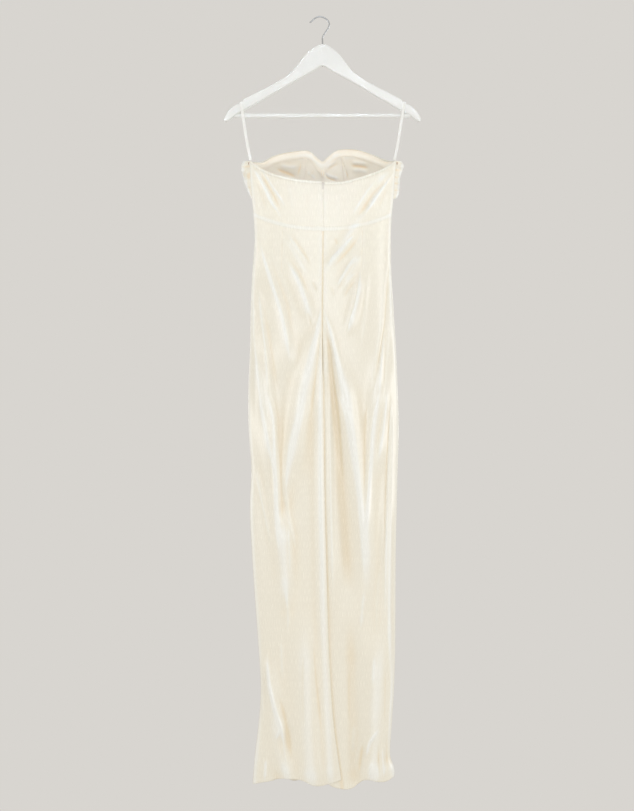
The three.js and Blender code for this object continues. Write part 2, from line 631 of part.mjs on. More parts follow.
// Hanger: flat shaped wood with rounded edges, its outline the same on both sides
const HANGER_UPPER = table(['x', 'z'], [
  [0, -59], [8, -60.4], [15.6, -64], [23.5, -69.3], [31.2, -75.7], [40, -84.7], [46.8, -93.6],
  [53.5, -102.5], [60.2, -111.4], [67.9, -120.3], [79, -129], [92.5, -138], [108, -147],
  [124.8, -156], [143.7, -165], [160.4, -173.8], [174.9, -181.6], [179.3, -187.4], [183, -191],
  [192.7, -193.8], [201.6, -200.5], [210.5, -209.4], [217.2, -220.6], [219.4, -226],
]);
const HANGER_LOWER = table(['x', 'z'], [
  [217, -230.8], [210.5, -230], [201.6, -222.8], [190.5, -215], [181.6, -210.5], [149.3, -191.6],
  [74, -148], [14, -114], [6, -109], [0, -107],
]);
const rightSide = [...HANGER_UPPER, ...HANGER_LOWER];
const leftSide = rightSide.slice(1, -1).reverse();
const hangerOutline = new THREE.Shape([
  ...rightSide.map(({ x, z }) => new THREE.Vector2(x, z)),
  ...leftSide.map(({ x, z }) => new THREE.Vector2(-x, z)),
].reverse());
const hangerGeometry = new THREE.ExtrudeGeometry(hangerOutline, {
  depth: HANGER_THICKNESS - 2 * HANGER_ROUNDING,
  bevelEnabled: true,
  bevelThickness: HANGER_ROUNDING,
  bevelSize: HANGER_ROUNDING,
  bevelOffset: -HANGER_ROUNDING,
  bevelSegments: 3,
});
hangerGeometry.translate(0, 0, -HANGER_THICKNESS / 2 + HANGER_ROUNDING);
hangerGeometry.rotateX(Math.PI / 2);

const stemHole = new THREE.CylinderGeometry(WIRE_RADIUS + FIT_CLEARANCE, WIRE_RADIUS + FIT_CLEARANCE, 80, 16);
stemHole.rotateX(Math.PI / 2);
stemHole.translate(0, 0, -85);
const barSocket = new THREE.CylinderGeometry(BAR_RADIUS + FIT_CLEARANCE, BAR_RADIUS + FIT_CLEARANCE,
  2 * (BAR_HALF_LENGTH + FIT_CLEARANCE), 16);
barSocket.rotateZ(Math.PI / 2);
barSocket.translate(0, 0, BAR_Z);
addMesh('hanger_body',
  fromSolid(solid(hangerGeometry).subtract(solid(stemHole)).subtract(solid(barSocket))), paintedWood);

const barGeometry = new THREE.CylinderGeometry(BAR_RADIUS, BAR_RADIUS, 2 * BAR_HALF_LENGTH, 16);
barGeometry.rotateZ(Math.PI / 2);
addMesh('hanger_bar', barGeometry, paintedWood).position.z = BAR_Z;

// Hook: one bent wire whose stem goes down through the hanger's crown
const HOOK = table(['x', 'z'], [
  [0, -108.5], [0, -88], [0, -68], [0, -54], [0, -45], [2.5, -38], [8.6, -29], [13.3, -21.5],
  [15.1, -15], [14, -9.8], [11, -4.8], [6.2, -1], [0.3, 1.8], [-5.6, 2.9], [-11.6, 1.9],
  [-16.8, -0.8], [-21.4, -4.6], [-25.2, -8.2], [-29, -10.6],
]);
const hookPath = new THREE.CatmullRomCurve3(HOOK.map(({ x, z }) => new THREE.Vector3(x, 0, z)));
const wireSection = new THREE.Shape();
wireSection.absarc(0, 0, WIRE_RADIUS, 0, 2 * Math.PI, false);
addMesh('hanger_hook', new THREE.ExtrudeGeometry(wireSection, {
  steps: 40, curveSegments: 5, bevelEnabled: false, extrudePath: hookPath,
}), chrome);

// Hanging loops: a narrow ribbon from each side seam, over the hanger's arm and back down
const LOOP_COLUMNS = ['x', 'z', 'y'];
const ARM_SLOPE = 0.7;         // how steeply the arm falls where the ribbon crosses it
const ARM_TOP_Z = -188.9;
const RIBBON_ARM_CLEAR = 1.15;
const LOOP_STRAND = table(LOOP_COLUMNS, [
  [160.4, -316.5, 0.95], [161.4, -310, 1.2], [164.2, -298, 2.1], [166.9, -284, 3.6],
  [170.6, -262, 5.6], [174.6, -236, 7.6], [176.9, -221, 8.15], [179.4, -204, 8.15],
  [180.5, -198, 8.15],
]);
const LOOP_TOP_X = 182.3;
const LOOP_STEPS = 44;
const CORNER_STEPS = 4;

function loopPath(sign) {
  const near = LOOP_STRAND.map(({ x, z, y }) => new THREE.Vector3(sign * x, -y, z));
  const radius = HANGER_ROUNDING + RIBBON_ARM_CLEAR;
  const corner = [];
  for (let i = 0; i <= CORNER_STEPS; i += 1) {
    const angle = (Math.PI / 2) * (i / CORNER_STEPS);
    corner.push(new THREE.Vector3(sign * LOOP_TOP_X,
      -(HANGER_THICKNESS / 2 - HANGER_ROUNDING) - radius * Math.cos(angle),
      ARM_TOP_Z - HANGER_ROUNDING + radius * Math.sin(angle)));
  }
  const half = [...near, ...corner];
  const far = half.map((p) => new THREE.Vector3(p.x, -p.y, p.z)).reverse();
  return new THREE.CatmullRomCurve3([...half, ...far], false, 'centripetal');
}

for (const [name, sign] of [['hanging_loop_left', -1], ['hanging_loop_right', 1]]) {
  const path = loopPath(sign);
  wall(name, ribbonCloth, (u, v) => {
    const point = path.getPointAt(v);
    const tilt = -sign * ARM_SLOPE * smooth(-208, -195, point.z);
    const along = (u - 0.5) * RIBBON_WIDTH / Math.hypot(1, tilt);
    return point.add(new THREE.Vector3(along, 0, along * tilt));
  }, 1, LOOP_STEPS, RIBBON_CLOTH);
}

export default dress;
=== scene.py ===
"""Looks of a long satin dress on its hanger, seen from the dress's back.

Lengths in the tables are millimetres in the frame of the solids, and meshes are in metres.
The back faces -Y, the front +Y, +X is to the right, and the origin is under the hook's arch.
"""
import math

import bmesh
import bpy
import numpy as np
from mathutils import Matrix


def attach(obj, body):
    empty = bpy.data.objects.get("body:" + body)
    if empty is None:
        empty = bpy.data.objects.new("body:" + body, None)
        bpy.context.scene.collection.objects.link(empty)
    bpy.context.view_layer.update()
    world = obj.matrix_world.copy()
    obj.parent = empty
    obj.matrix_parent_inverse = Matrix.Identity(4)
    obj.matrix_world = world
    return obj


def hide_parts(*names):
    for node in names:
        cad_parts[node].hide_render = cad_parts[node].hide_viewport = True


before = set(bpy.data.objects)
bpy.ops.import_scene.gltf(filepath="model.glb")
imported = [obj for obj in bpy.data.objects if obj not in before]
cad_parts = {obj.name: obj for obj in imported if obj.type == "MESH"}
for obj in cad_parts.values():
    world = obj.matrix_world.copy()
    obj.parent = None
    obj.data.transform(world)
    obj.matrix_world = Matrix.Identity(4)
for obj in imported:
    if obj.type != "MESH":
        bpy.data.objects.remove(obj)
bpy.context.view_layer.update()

MM = 0.001
CLOTH = 1.2                    # satin wall
BODICE_CLOTH = 1.4             # satin on its interlining
BAND_CLOTH = 2.0               # turned waistband
SEAM_GAP = 0.3                 # between two pieces that are sewn together
SIDE_SEAM_HALF = 0.2           # half the gap between back and front at the side seams
LENS_POWER = 2.4               # how square the flattened tube is
WAIST_LOW = -477.4             # lower edge of the waistband in the middle
WAIST_RISE = 34                # how far it climbs to the side seams
WAIST_POWER = 2.3              # how late it does so
WAISTBAND_HEIGHT = 9.5
BINDING_HEIGHT = 4.6
ZIP_X = 1.1
SLIT_TOP = -760
SLIT_LAP = 32                  # the right back lies this far under the left one at the hem
LAP_STEP = 3.4                 # and that far in from it
LAP_REACH = 42                 # how far from the slit the lap still lifts the cloth
SIDES = ("left", "right")


def table(columns, rows):
    """Rows of numbers as named columns."""
    return {name: np.array([row[i] for row in rows], float) for i, name in enumerate(columns)}


def curve(rows, key, value):
    """A smooth curve through a table: cubic pieces whose slope at a row is that between its
    neighbours, level past the ends."""
    order = np.argsort(rows[key])
    k, f = rows[key][order], rows[value][order]
    last = len(k) - 1
    below, above = np.maximum(np.arange(last + 1) - 1, 0), np.minimum(np.arange(last + 1) + 1, last)
    slope = (f[above] - f[below]) / (k[above] - k[below])

    def at(x):
        x = np.clip(x, k[0], k[-1])
        i = np.clip(np.searchsorted(k, x, side="right") - 1, 0, last - 1)
        span = k[i + 1] - k[i]
        t = (x - k[i]) / span
        return ((2 * t**3 - 3 * t**2 + 1) * f[i] + (t**3 - 2 * t**2 + t) * span * slope[i]
                + (3 * t**2 - 2 * t**3) * f[i + 1] + (t**3 - t**2) * span * slope[i + 1])
    return at


def mix(a, b, t):
    return a + (b - a) * t


def smooth(start, end, value):
    """0 before the start, 1 past the end, and three squares less two cubes of the share between."""
    t = np.clip((value - start) / (end - start), 0, 1)
    return t * t * (3 - 2 * t)


def stack(x, y, z):
    return np.stack(np.broadcast_arrays(x, y, z), axis=-1).astype(float)


# Sections of the hanging dress: both side seams, and how far back and front bow out
SECTIONS = table(["z", "left", "right", "back", "front"], [
    (-300, -161.8, 164.2, 15, 34), (-316, -161.5, 163.7, 16, 38), (-360, -160.0, 160.0, 20, 44),
    (-405, -155.9, 157.1, 22, 42), (-443, -152.6, 153.3, 23, 34), (-495, -150.4, 151.5, 24, 28),
    (-575, -156.0, 153.0, 27, 30), (-655, -159.3, 158.2, 28, 32), (-735, -160.9, 162.9, 28, 32),
    (-842, -164.9, 167.5, 28, 30), (-922, -163.7, 169.3, 27, 30), (-1002, -157.9, 166.9, 26, 29),
    (-1096, -161.1, 164.9, 26, 28), (-1190, -156.6, 162.9, 26, 28), (-1297, -149.7, 162.2, 26, 28),
    (-1408, -141.5, 161.5, 26, 28), (-1497, -137.0, 158.6, 27, 28), (-1575, -142.1, 153.7, 28, 29),
    (-1644, -150.4, 150.4, 28, 30), (-1673, -152.6, 159.5, 28, 30), (-1722, -156.5, 156.5, 28, 30),
])
left_at = curve(SECTIONS, "z", "left")
right_at = curve(SECTIONS, "z", "right")
back_depth = curve(SECTIONS, "z", "back")
front_depth = curve(SECTIONS, "z", "front")

centre_back = curve(table(["z", "x"], [
    (-300, 1.1), (-475, 1.1), (-695, -0.6), (-840, 0.7), (-1074, 4.5), (-1208, 7.8),
    (-1341, 11.5), (-1453, 16), (-1573, 25), (-1691, 41.2), (-1722, 45),
]), "z", "x")

# Large folds: each runs through three places, stands out by height and is about two widths across
FOLD_COLUMNS = ["xTop", "zTop", "xMid", "zMid", "xLow", "zLow", "height", "width"]
BACK_FOLDS = table(FOLD_COLUMNS, [
    (-157, -322, -133, -368, -99, -438, 3.0, 11), (149, -326, 121, -388, 95, -440, 3.6, 12),
    (97, -428, 42, -512, 5, -580, 3.6, 13), (-87, -480, -59, -530, -32, -585, 2.6, 12),
    (-84, -530, -43, -622, -20, -700, 3.6, 14), (86, -520, 61, -564, 36, -605, 3.2, 13),
    (88, -565, 74, -628, 52, -718, 4.2, 14), (-146, -480, -104, -630, -62, -820, 5.2, 18),
    (-150, -690, -135, -873, -105, -1050, 6.0, 18), (-138, -720, -109, -1007, -93, -1260, 7.5, 19),
    (-3, -655, -46, -853, -82, -1090, 9.5, 24), (-86, -1080, -84, -1180, -82, -1330, 7.0, 18),
    (-124, -1400, -106, -1546, -76, -1730, 9.0, 19), (-5, -740, -4, -1040, 18, -1730, 4.2, 13),
    (12, -730, 33, -945, 58, -1330, -7.0, 20), (26, -720, 60, -890, 91, -1240, 6.5, 18),
    (134, -700, 108, -967, 97, -1330, 7.0, 18), (146, -760, 132, -922, 118, -1040, 4.5, 14),
    (144, -1050, 142, -1250, 139, -1500, 5.0, 16), (126, -1330, 118, -1560, 112, -1740, 9.0, 20),
    (62, -1280, 64, -1500, 72, -1740, -8.0, 24), (-42, -1300, -34, -1520, -20, -1740, 8.0, 26),
    (-88, -1560, -92, -1640, -96, -1740, -6.0, 18),
])
FRONT_FOLDS = table(FOLD_COLUMNS, [
    (-120, -500, -88, -640, -60, -840, 4.5, 20), (118, -500, 92, -660, 58, -860, 5.0, 20),
    (-20, -560, -28, -800, -40, -1150, 6.5, 24), (34, -620, 44, -900, 70, -1250, 7.5, 24),
    (-136, -720, -112, -980, -96, -1300, 7.5, 22), (138, -700, 116, -960, 104, -1280, 7.0, 22),
    (2, -900, 4, -1250, -6, -1740, 9.0, 26), (-70, -1150, -66, -1400, -62, -1740, 9.5, 24),
    (78, -1200, 72, -1450, 66, -1740, 9.0, 24), (-118, -1280, -112, -1500, -116, -1740, 7.5, 20),
    (124, -1260, 118, -1500, 116, -1740, 8.0, 20), (34, -1350, 34, -1550, 32, -1740, -7.0, 20),
])
FOLD_RUN_OUT = 150             # a fold comes up and dies away over this length,
HEM_RUN_OUT = 70               # or over this one where it runs into the hem,
HEM_REACH = -1600              # which is where it ends below this height


def fold_height(folds, x, z):
    """Sum of the folds: each is its height times a bell across it and a soft start and end along it,
    on the parabola through its three places."""
    total = np.zeros(np.broadcast(x, z).shape)
    for i in range(len(folds["height"])):
        xt, zt, xm, zm, xl, zl, height, width = (folds[name][i] for name in FOLD_COLUMNS)
        place = (xt * (z - zm) * (z - zl) / ((zt - zm) * (zt - zl))
                 + xm * (z - zt) * (z - zl) / ((zm - zt) * (zm - zl))
                 + xl * (z - zt) * (z - zm) / ((zl - zt) * (zl - zm)))
        run = min(FOLD_RUN_OUT, (zt - zl) / 3)
        run_out = min(HEM_RUN_OUT, run) if zl < HEM_REACH else run
        along = smooth(zt, zt - run, z) * smooth(zl, zl + run_out, z)
        total += height * along * np.exp(-((x - place) / width) ** 2)
    return total


# Creases, finer than the folds: height (a hollow is negative), width, skew
# (positive is steeper on its right), and the places that it runs through from its top down
BACK_CREASES = [
    # bodice
    (2.8, 3.6, 0.2, [(-161, -325), (-143, -353), (-126, -384.5), (-116.7, -405.4), (-98, -436), (-84, -462)]),
    (-3.8, 8, 0, [(-146, -331), (-133, -353), (-116, -384), (-104, -408), (-88, -440)]),
    (2.6, 3.6, 0.2, [(-143, -327), (-126, -352), (-107.4, -383), (-91.8, -405.4), (-76, -432)]),
    (-1.6, 7, 0, [(-152, -345), (-143, -375), (-131, -410), (-120, -449)]),
    (3.4, 3.6, -0.2, [(161, -340), (141, -370), (120.5, -398.8), (103, -425), (85.8, -451)]),
    (-5.0, 9.5, 0, [(150, -346), (133, -368), (105, -404), (88, -431), (70, -456)]),
    (1.8, 4.4, 0, [(130, -350), (106, -379), (84, -412), (62, -450)]),
    (-1.4, 6, 0, [(148, -372), (134, -402), (120, -436)]),
    (0.7, 6, 0, [(-78.5, -356), (-69.7, -400), (-65.3, -445)]),
    (0.6, 7, 0, [(40.8, -383), (34.1, -414), (38.6, -454)]),
    (-0.6, 6, 0, [(-23.3, -378), (-36.6, -409), (-29.9, -449)]),
    # upper skirt, right of the seam
    (3, 4.4, -0.3, [(79.4, -476), (58.4, -498), (42.3, -517), (20.9, -539), (12.0, -557)]),
    (-2, 6.5, 0, [(84.9, -482), (62.9, -513), (40.8, -537), (17.6, -566)]),
    (-0.9, 3, 0, [(23.1, -481), (15.4, -491), (9.0, -504)]),
    (-1.2, 3.6, 0, [(25.3, -489), (30.2, -501), (31.9, -513)]),
    (1.7, 4.2, 0, [(84.9, -520), (63.7, -544), (42.3, -581), (27.5, -616)]),
    (-1.3, 3.6, 0, [(84.9, -536), (65.1, -557), (46.3, -586), (33.0, -613)]),
    (1.5, 4.2, 0, [(84.9, -556), (61.8, -581), (39.7, -616)]),
    (-1, 4, 0, [(76.1, -582), (58.4, -604), (45.2, -630)]),
    (2.2, 4.6, -0.2, [(90.5, -533), (82.3, -581), (74.3, -635), (63.7, -668), (52.9, -716)]),
    (-1.6, 4.6, 0, [(83.8, -564), (75.2, -608), (66.4, -648), (46.9, -712)]),
    (-1, 3.4, 0, [(14.3, -595), (23.1, -610), (25.3, -626)]),
    (0.9, 5, 0, [(102.6, -546), (96.0, -630), (87.2, -745)]),
    # upper skirt, left of the seam
    (1.7, 4.2, 0.2, [(-83.6, -474), (-64.8, -501), (-43.4, -533), (-28.8, -564)]),
    (-1, 4.5, 0, [(-76.3, -474), (-56.4, -504), (-36.6, -533), (-25.5, -555)]),
    (1.9, 4.4, 0.2, [(-86.3, -533), (-67.5, -560), (-48.7, -597), (-38.1, -630), (-29.9, -663)]),
    (-1.2, 5, 0, [(-74.1, -533), (-56.4, -562), (-39.9, -595), (-28.8, -626)]),
    (-1.4, 3.2, 0, [(-24.2, -586), (-17.6, -599), (-13.6, -615)]),
    (-1.3, 3.2, 0, [(-33.9, -655), (-29.0, -672), (-25.7, -690)]),
    (2.5, 4.8, 0.2, [(-139.9, -490), (-129.3, -539), (-113.0, -592), (-91.8, -654), (-78.5, -721), (-70.1, -782)]),
    (1, 4, 0, [(-129.3, -526), (-116.1, -575), (-100.6, -628)]),
    (-1.2, 7, 0, [(-124.9, -507), (-105.0, -568), (-78.5, -639), (-63.1, -714)]),
    (2.2, 4.8, 0.2, [(-142.6, -595), (-134.4, -672), (-126.5, -739), (-121.2, -806), (-115.0, -856)]),
    (1.8, 4.2, 0.2, [(-152.7, -619), (-152.3, -699), (-145.2, -780), (-137.1, -849), (-129.3, -895)]),
    (-2.4, 11, 0, [(-131.5, -630), (-118.3, -708), (-109.5, -767), (-100.6, -847)]),
    # right side
    (-3.4, 6.4, -0.3, [(149.0, -533), (142.8, -597), (139.3, -640), (135.8, -685), (125.1, -753), (114.5, -806),
     (101.1, -856)]),
    (1.8, 3.2, 0, [(137.1, -690), (133.5, -730), (129.1, -785), (124.7, -856)]),
    (-1.8, 4, 0, [(142.4, -670), (139.3, -730), (135.8, -789), (132.7, -856)]),
    (1.2, 4, 0, [(152.3, -520), (151.2, -630), (152.3, -741)]),
    # the folds that spread from the end of the centre seam
    (4, 6, 0.2, [(-1.9, -632), (-8.7, -689), (-16.7, -726), (-29.9, -787), (-43.2, -851)]),
    (-2.6, 5, 0, [(-3.4, -683), (-8.3, -726), (-13.6, -780), (-22.0, -849), (-26.6, -904)]),
    (3.6, 6, -0.2, [(2.1, -646), (14.3, -689), (22.2, -721), (35.0, -780), (48.3, -849)]),
    (-4.4, 6, 0, [(4.8, -689), (12.7, -726), (18.7, -780), (26.6, -849), (32.8, -904), (39, -985), (46, -1080)]),
    (1.3, 3, 0, [(-4.3, -745), (-4.7, -818), (-4.7, -917), (-3.4, -1072), (1.9, -1271), (4.5, -1381)]),
    (1.6, 3.4, 0, [(6.3, -745), (7.6, -818), (9.0, -917), (10.7, -1072), (14.7, -1205), (18.7, -1381)]),
    (2.6, 7, 0, [(14.5, -800), (16, -917), (18, -1072), (21, -1205), (26, -1381)]),
    # middle of the skirt, left
    (2.6, 5, 0.2, [(-140.4, -825), (-134.2, -876), (-119.4, -947), (-106.4, -1023)]),
    (3.2, 6, 0.1, [(-122.7, -825), (-107.7, -900), (-104.6, -1006), (-98.8, -1125), (-94.9, -1218)]),
    (2, 5, 0, [(-151.6, -988), (-137.3, -1060), (-119.4, -1143), (-111.7, -1196)]),
    (-1.6, 7, 0, [(-120.5, -895), (-113.9, -1006), (-109.5, -1116)]),
    (3.2, 10, 0, [(-38.0, -812), (-51.4, -888), (-67.9, -947), (-77.2, -1006), (-80.3, -1054), (-78, -1120)]),
    (1.8, 4, 0, [(-81.0, -1041), (-75.2, -1105), (-67.5, -1145), (-55.1, -1191)]),
    (1.5, 3.2, 0, [(-76.3, -1116), (-72.8, -1182), (-71.0, -1253)]),
    (-1.6, 6, 0, [(-92.7, -940), (-91.8, -1050), (-86.5, -1171)]),
    (2, 4.6, 0, [(-85.2, -1236), (-80.3, -1275), (-75.9, -1331), (-78.1, -1381)]),
    (1.6, 4.6, 0, [(-90.9, -1372), (-90.5, -1414), (-87.4, -1479)]),
    # middle of the skirt, right
    (3.4, 6, 0.2, [(29.7, -825), (57.6, -888), (72.8, -977), (81.6, -1051), (87.6, -1125), (90.7, -1184),
     (93.8, -1258)]),
    (3.2, 5, -0.2, [(126.0, -825), (111.2, -917), (105.3, -1006), (99.3, -1095), (91.6, -1196)]),
    (-1.8, 5, 0, [(98.2, -851), (92.5, -940), (91.6, -1028), (92.9, -1116)]),
    (2.2, 4, -0.2, [(143.7, -825), (134.9, -917), (120.3, -1001)]),
    (-1.6, 4.4, 0, [(136.2, -840), (124.7, -917), (115.9, -988)]),
    (2, 4.4, 0, [(154.1, -829), (148.1, -940), (144.1, -1072), (139.3, -1249), (137.1, -1381)]),
    (-1.6, 3.2, 0, [(149.0, -851), (143.3, -962), (138.4, -1094), (133.5, -1271)]),
    (1.3, 4, 0, [(126.0, -1218), (121.2, -1293), (119.4, -1381)]),
    (3.4, 9, 0, [(157, -829), (155, -940), (152, -1072), (149, -1249), (148, -1381), (149, -1480)]),
    # bottom of the skirt, left
    (4.2, 5, 0.1, [(-123.1, -1403), (-119.2, -1470), (-113.0, -1505), (-104.1, -1538), (-90.2, -1580),
     (-83.2, -1626), (-78.1, -1666)]),
    (2, 3.2, 0, [(-90.5, -1574), (-97.1, -1587), (-102.4, -1602)]),
    (-2.2, 7, 0, [(-102.8, -1492), (-87.4, -1540), (-74.1, -1607), (-67.5, -1660)]),
    (3, 5, 0, [(-124.5, -1640), (-126.2, -1668), (-128.0, -1699)]),
    (1.4, 3.6, 0, [(-139.1, -1434), (-133.8, -1514), (-129.3, -1591)]),
    (1.6, 7, 0, [(-11.4, -1527), (-9.2, -1591), (-4.3, -1673), (-2.3, -1704)]),
    (-1.3, 3.2, 0, [(-21.1, -1381), (-15.8, -1459), (-7.0, -1540), (-2.5, -1598)]),
    (-1, 4, 0, [(-42.3, -1403), (-44.1, -1492), (-41.0, -1591)]),
    # bottom of the skirt, right
    (1.6, 6, 0, [(92.9, -1262), (88.0, -1315), (84.1, -1368)]),
    (1.5, 4, 0, [(115.0, -1412), (112.3, -1448), (110.6, -1487)]),
    (3.4, 8, 0, [(147.9, -1293), (150.9, -1403), (152.7, -1492), (148.7, -1567), (143.4, -1655)]),
    (-1.6, 4, 0, [(137.1, -1425), (137.1, -1514), (134.9, -1591)]),
    (3.2, 4, 0, [(127.8, -1574), (113.7, -1593), (102.4, -1613), (96.9, -1646)]),
    (-2.6, 3, 0, [(123.8, -1607), (124.0, -1646), (125.1, -1691)]),
    (2.6, 4.2, 0, [(132.2, -1611), (134.4, -1651), (135.3, -1691)]),
    (-1.6, 3, 0, [(141.5, -1593), (142.8, -1638), (142.4, -1682)]),
    (2.2, 5, 0, [(109.2, -1651), (108.4, -1668), (107.0, -1691)]),
    (1.3, 5, 0, [(69.9, -1562), (68.2, -1598), (66.4, -1638)]),
    (-2.6, 6, 0, [(89.8, -1607), (85.8, -1642), (79.6, -1682)]),
    (-0.9, 3.6, 0, [(58.0, -1437), (57.6, -1514), (59.3, -1576)]),
]
FRONT_CREASES = [
    (2.4, 5.5, 0.2, [(-96, -482), (-72, -540), (-50, -610), (-38, -690)]),
    (2.0, 4.8, -0.2, [(101, -480), (78, -535), (52, -600), (30, -670)]),
    (-1.4, 6, 0, [(-82, -482), (-58, -545), (-36, -620)]),
    (1.6, 4.2, 0, [(60, -484), (44, -530), (22, -590)]),
    (1.5, 4.4, 0, [(-40, -486), (-26, -540), (-12, -602)]),
    (2.6, 5.4, 0.1, [(-148, -500), (-136, -610), (-112, -740), (-96, -870)]),
    (2.4, 5.0, -0.2, [(146, -505), (138, -640), (118, -780), (104, -905)]),
    (2.2, 4.6, 0, [(-132, -660), (-124, -800), (-110, -960)]),
    (-1.8, 7, 0, [(-118, -700), (-104, -860), (-92, -1030)]),
    (3.2, 6.5, 0.2, [(-18, -640), (-30, -790), (-52, -960), (-60, -1120)]),
    (3.0, 6.0, -0.2, [(24, -660), (40, -800), (66, -980), (80, -1150)]),
    (-2.2, 6.5, 0, [(8, -690), (16, -860), (30, -1040)]),
    (2.0, 4.4, 0, [(122, -860), (112, -1010), (106, -1160)]),
    (-1.6, 5, 0, [(96, -900), (90, -1060), (88, -1220)]),
    (2.4, 5.2, 0, [(-92, -1040), (-86, -1190), (-88, -1330)]),
    (2.2, 4.6, 0.1, [(-6, -1060), (2, -1230), (-4, -1420), (-10, -1600)]),
    (3.4, 5.4, 0.1, [(104, -1300), (110, -1430), (98, -1560), (90, -1680)]),
    (-1.8, 6, 0, [(50, -1240), (46, -1400), (50, -1560), (48, -1690)]),
    (3.2, 5.0, -0.1, [(-124, -1340), (-114, -1470), (-100, -1590), (-96, -1690)]),
    (2.0, 4.2, 0, [(-52, -1420), (-46, -1540), (-44, -1690)]),
    (1.8, 4.2, 0, [(70, -1530), (76, -1610), (74, -1700)]),
    (-2.2, 4.4, 0, [(-74, -1560), (-76, -1630), (-80, -1700)]),
]
CREASE_RUN_OUT = 0.35          # a crease dies away over this share of its length
CREASE_RUN_IN = 11             # and comes up over this many of its widths
CREASE_SHARPNESS = 0.78        # the cloth is crisp, so creases are narrower than they look
CREASE_DEPTH = 0.85            # and lower
CREASE_POINT = 0.4             # share of its width that a crease keeps at its ends
CREASE_POWER = 1.5             # how fast it falls off across: 2 is a bell, 1 a ridge


def crease_height(creases, x, z):
    """Sum of the creases: across each smooth line through its places, e to the minus (distance over
    width) to the crease power, narrower on one side by its skew. Along it the crease comes up as a
    point, widens and dies away."""
    total = np.zeros(np.broadcast(x, z).shape)
    for height, width, skew, places in creases:
        line = table(["x", "z"], places)
        place_at = curve(line, "z", "x")
        top, low = line["z"].max(), line["z"].min()
        place = place_at(z)
        lean = (place_at(z + 2) - place_at(z - 2)) / 4
        aside = (x - place) / np.sqrt(1 + lean**2)
        run = CREASE_RUN_OUT * (top - low)
        along = smooth(top, top - min(run, CREASE_RUN_IN * width), z) * smooth(low, low + run, z)
        wide = CREASE_SHARPNESS * width * np.where(aside < 0, 1 + skew, 1 - skew) \
            * (CREASE_POINT + (1 - CREASE_POINT) * np.sqrt(along))
        total += CREASE_DEPTH * height * along * np.exp(-np.abs(aside / wide) ** CREASE_POWER)
    return total


def lens(s):
    """How far the wall bows at a share s of the half width: the root of one less s to the lens power."""
    return np.sqrt(np.maximum(1 - np.abs(s) ** LENS_POWER, 0))


def across(s, z):
    """x at a share s of the half width, from -1 at the left side seam to 1 at the right one."""
    return mix(left_at(z), right_at(z), (s + 1) / 2)


def fraction_at(x, z):
    return np.clip(2 * (x - left_at(z)) / (right_at(z) - left_at(z)) - 1, -1, 1)


def side_fade(s, reach=0.1):
    """0 at the side seams and 1 from a reach inside them."""
    return smooth(0, reach, 1 - np.abs(s))


def groove(x, z, places, depth, half_width):
    """A sewn line: a narrow dip along the smooth line through its places, which comes up over 5 mm
    at its top and dies away over 20 at its foot."""
    line = table(["x", "z"], places)
    top, low = line["z"].max(), line["z"].min()
    within = smooth(top + 1, top - 4, z) * smooth(low - 6, low + 14, z)
    return -depth * within * np.exp(-((x - curve(line, "z", "x")(z)) / half_width) ** 2)


# Sewn lines: depth, half width, and the places that they run through from the top down
SEWN_LINES = [
    (1.0, 1.7, [(1.1, -477), (-0.6, -695), (0.2, -800)]),      # centre-back seam
    (0.7, 1.6, [(ZIP_X, -366), (ZIP_X, -466)]),                # zip
    (0.9, 1.8, [(-88.5, -476), (-91, -572)]),                  # darts
    (0.9, 1.8, [(88.3, -475), (85.4, -592)]),
]
PUCKER_PITCH, PUCKER_DEPTH, PUCKER_REACH = 8.2, 0.5, 8
PUCKER_SHIFT = 2.6             # the puckers right of the seam sit this much lower
PUCKERS_COME_UP, PUCKERS_DIE_AWAY = (-520, -575), (-680, -730)


def sewing_height(x, z):
    """The sewn lines as dips in the cloth, and the centre seam's puckers: uneven waves that die away
    on both sides of it."""
    total = sum(groove(x, z, places, depth, half_width) for depth, half_width, places in SEWN_LINES)
    away = x - centre_back(z)
    window = smooth(*PUCKERS_COME_UP, z) * (1 - smooth(*PUCKERS_DIE_AWAY, z))
    wander = 1.6 * np.sin(z / 21) + 2.2 * np.sin(z / 37 + 1)
    side = np.where(away < 0, 0.0, PUCKER_SHIFT)
    wave = np.sin(2 * np.pi * (z + wander + side + 0.9 * np.abs(away)) / PUCKER_PITCH)
    uneven = 0.5 + 0.5 * np.sin(z / 8.7 + side) * np.sin(z / 23 + 2)
    return total + PUCKER_DEPTH * window * uneven * wave * np.exp(-(np.abs(away) / PUCKER_REACH) ** CREASE_POWER)


CREASE_FADE = 0.035            # creases die away this near the side seams


def back_surface(s, z):
    """The back: x across the section, pushed back by the lens, the folds, the creases and the sewing."""
    x = across(s, z)
    fine = crease_height(BACK_CREASES, x, z) * side_fade(s, CREASE_FADE) + sewing_height(x, z)
    out = back_depth(z) * lens(s) + fold_height(BACK_FOLDS, x, z) * side_fade(s) + fine
    return stack(x, -SIDE_SEAM_HALF - out, z)


def front_surface(s, z):
    """The front, as the back, bowed out by the section's front depth."""
    x = across(s, z)
    fine = crease_height(FRONT_CREASES, x, z) * side_fade(s, CREASE_FADE)
    out = front_depth(z) * lens(s) + fold_height(FRONT_FOLDS, x, z) * side_fade(s) + fine
    return stack(x, SIDE_SEAM_HALF + out, z)


EVEN_SHARE = 0.42              # how far the columns of a wall are even, and not crowded
COLUMN_STEPS = np.linspace(0, 1, 4001)


def column(t):
    """The share of the half width at column share t: they crowd towards the side seams, part of a
    cosine, part even."""
    return mix(-np.cos(np.pi * t), 2 * t - 1, EVEN_SHARE)


def column_of(s):
    """The column share at which column() gives s."""
    return np.interp(s, column(COLUMN_STEPS), COLUMN_STEPS)


def waist_z(s):
    """The waistband's lower edge: lowest in the middle, climbing to the side seams."""
    return WAIST_LOW + WAIST_RISE * np.abs(s) ** WAIST_POWER


def s_at_waist(x):
    return fraction_at(x, WAIST_LOW + WAIST_RISE / 2)


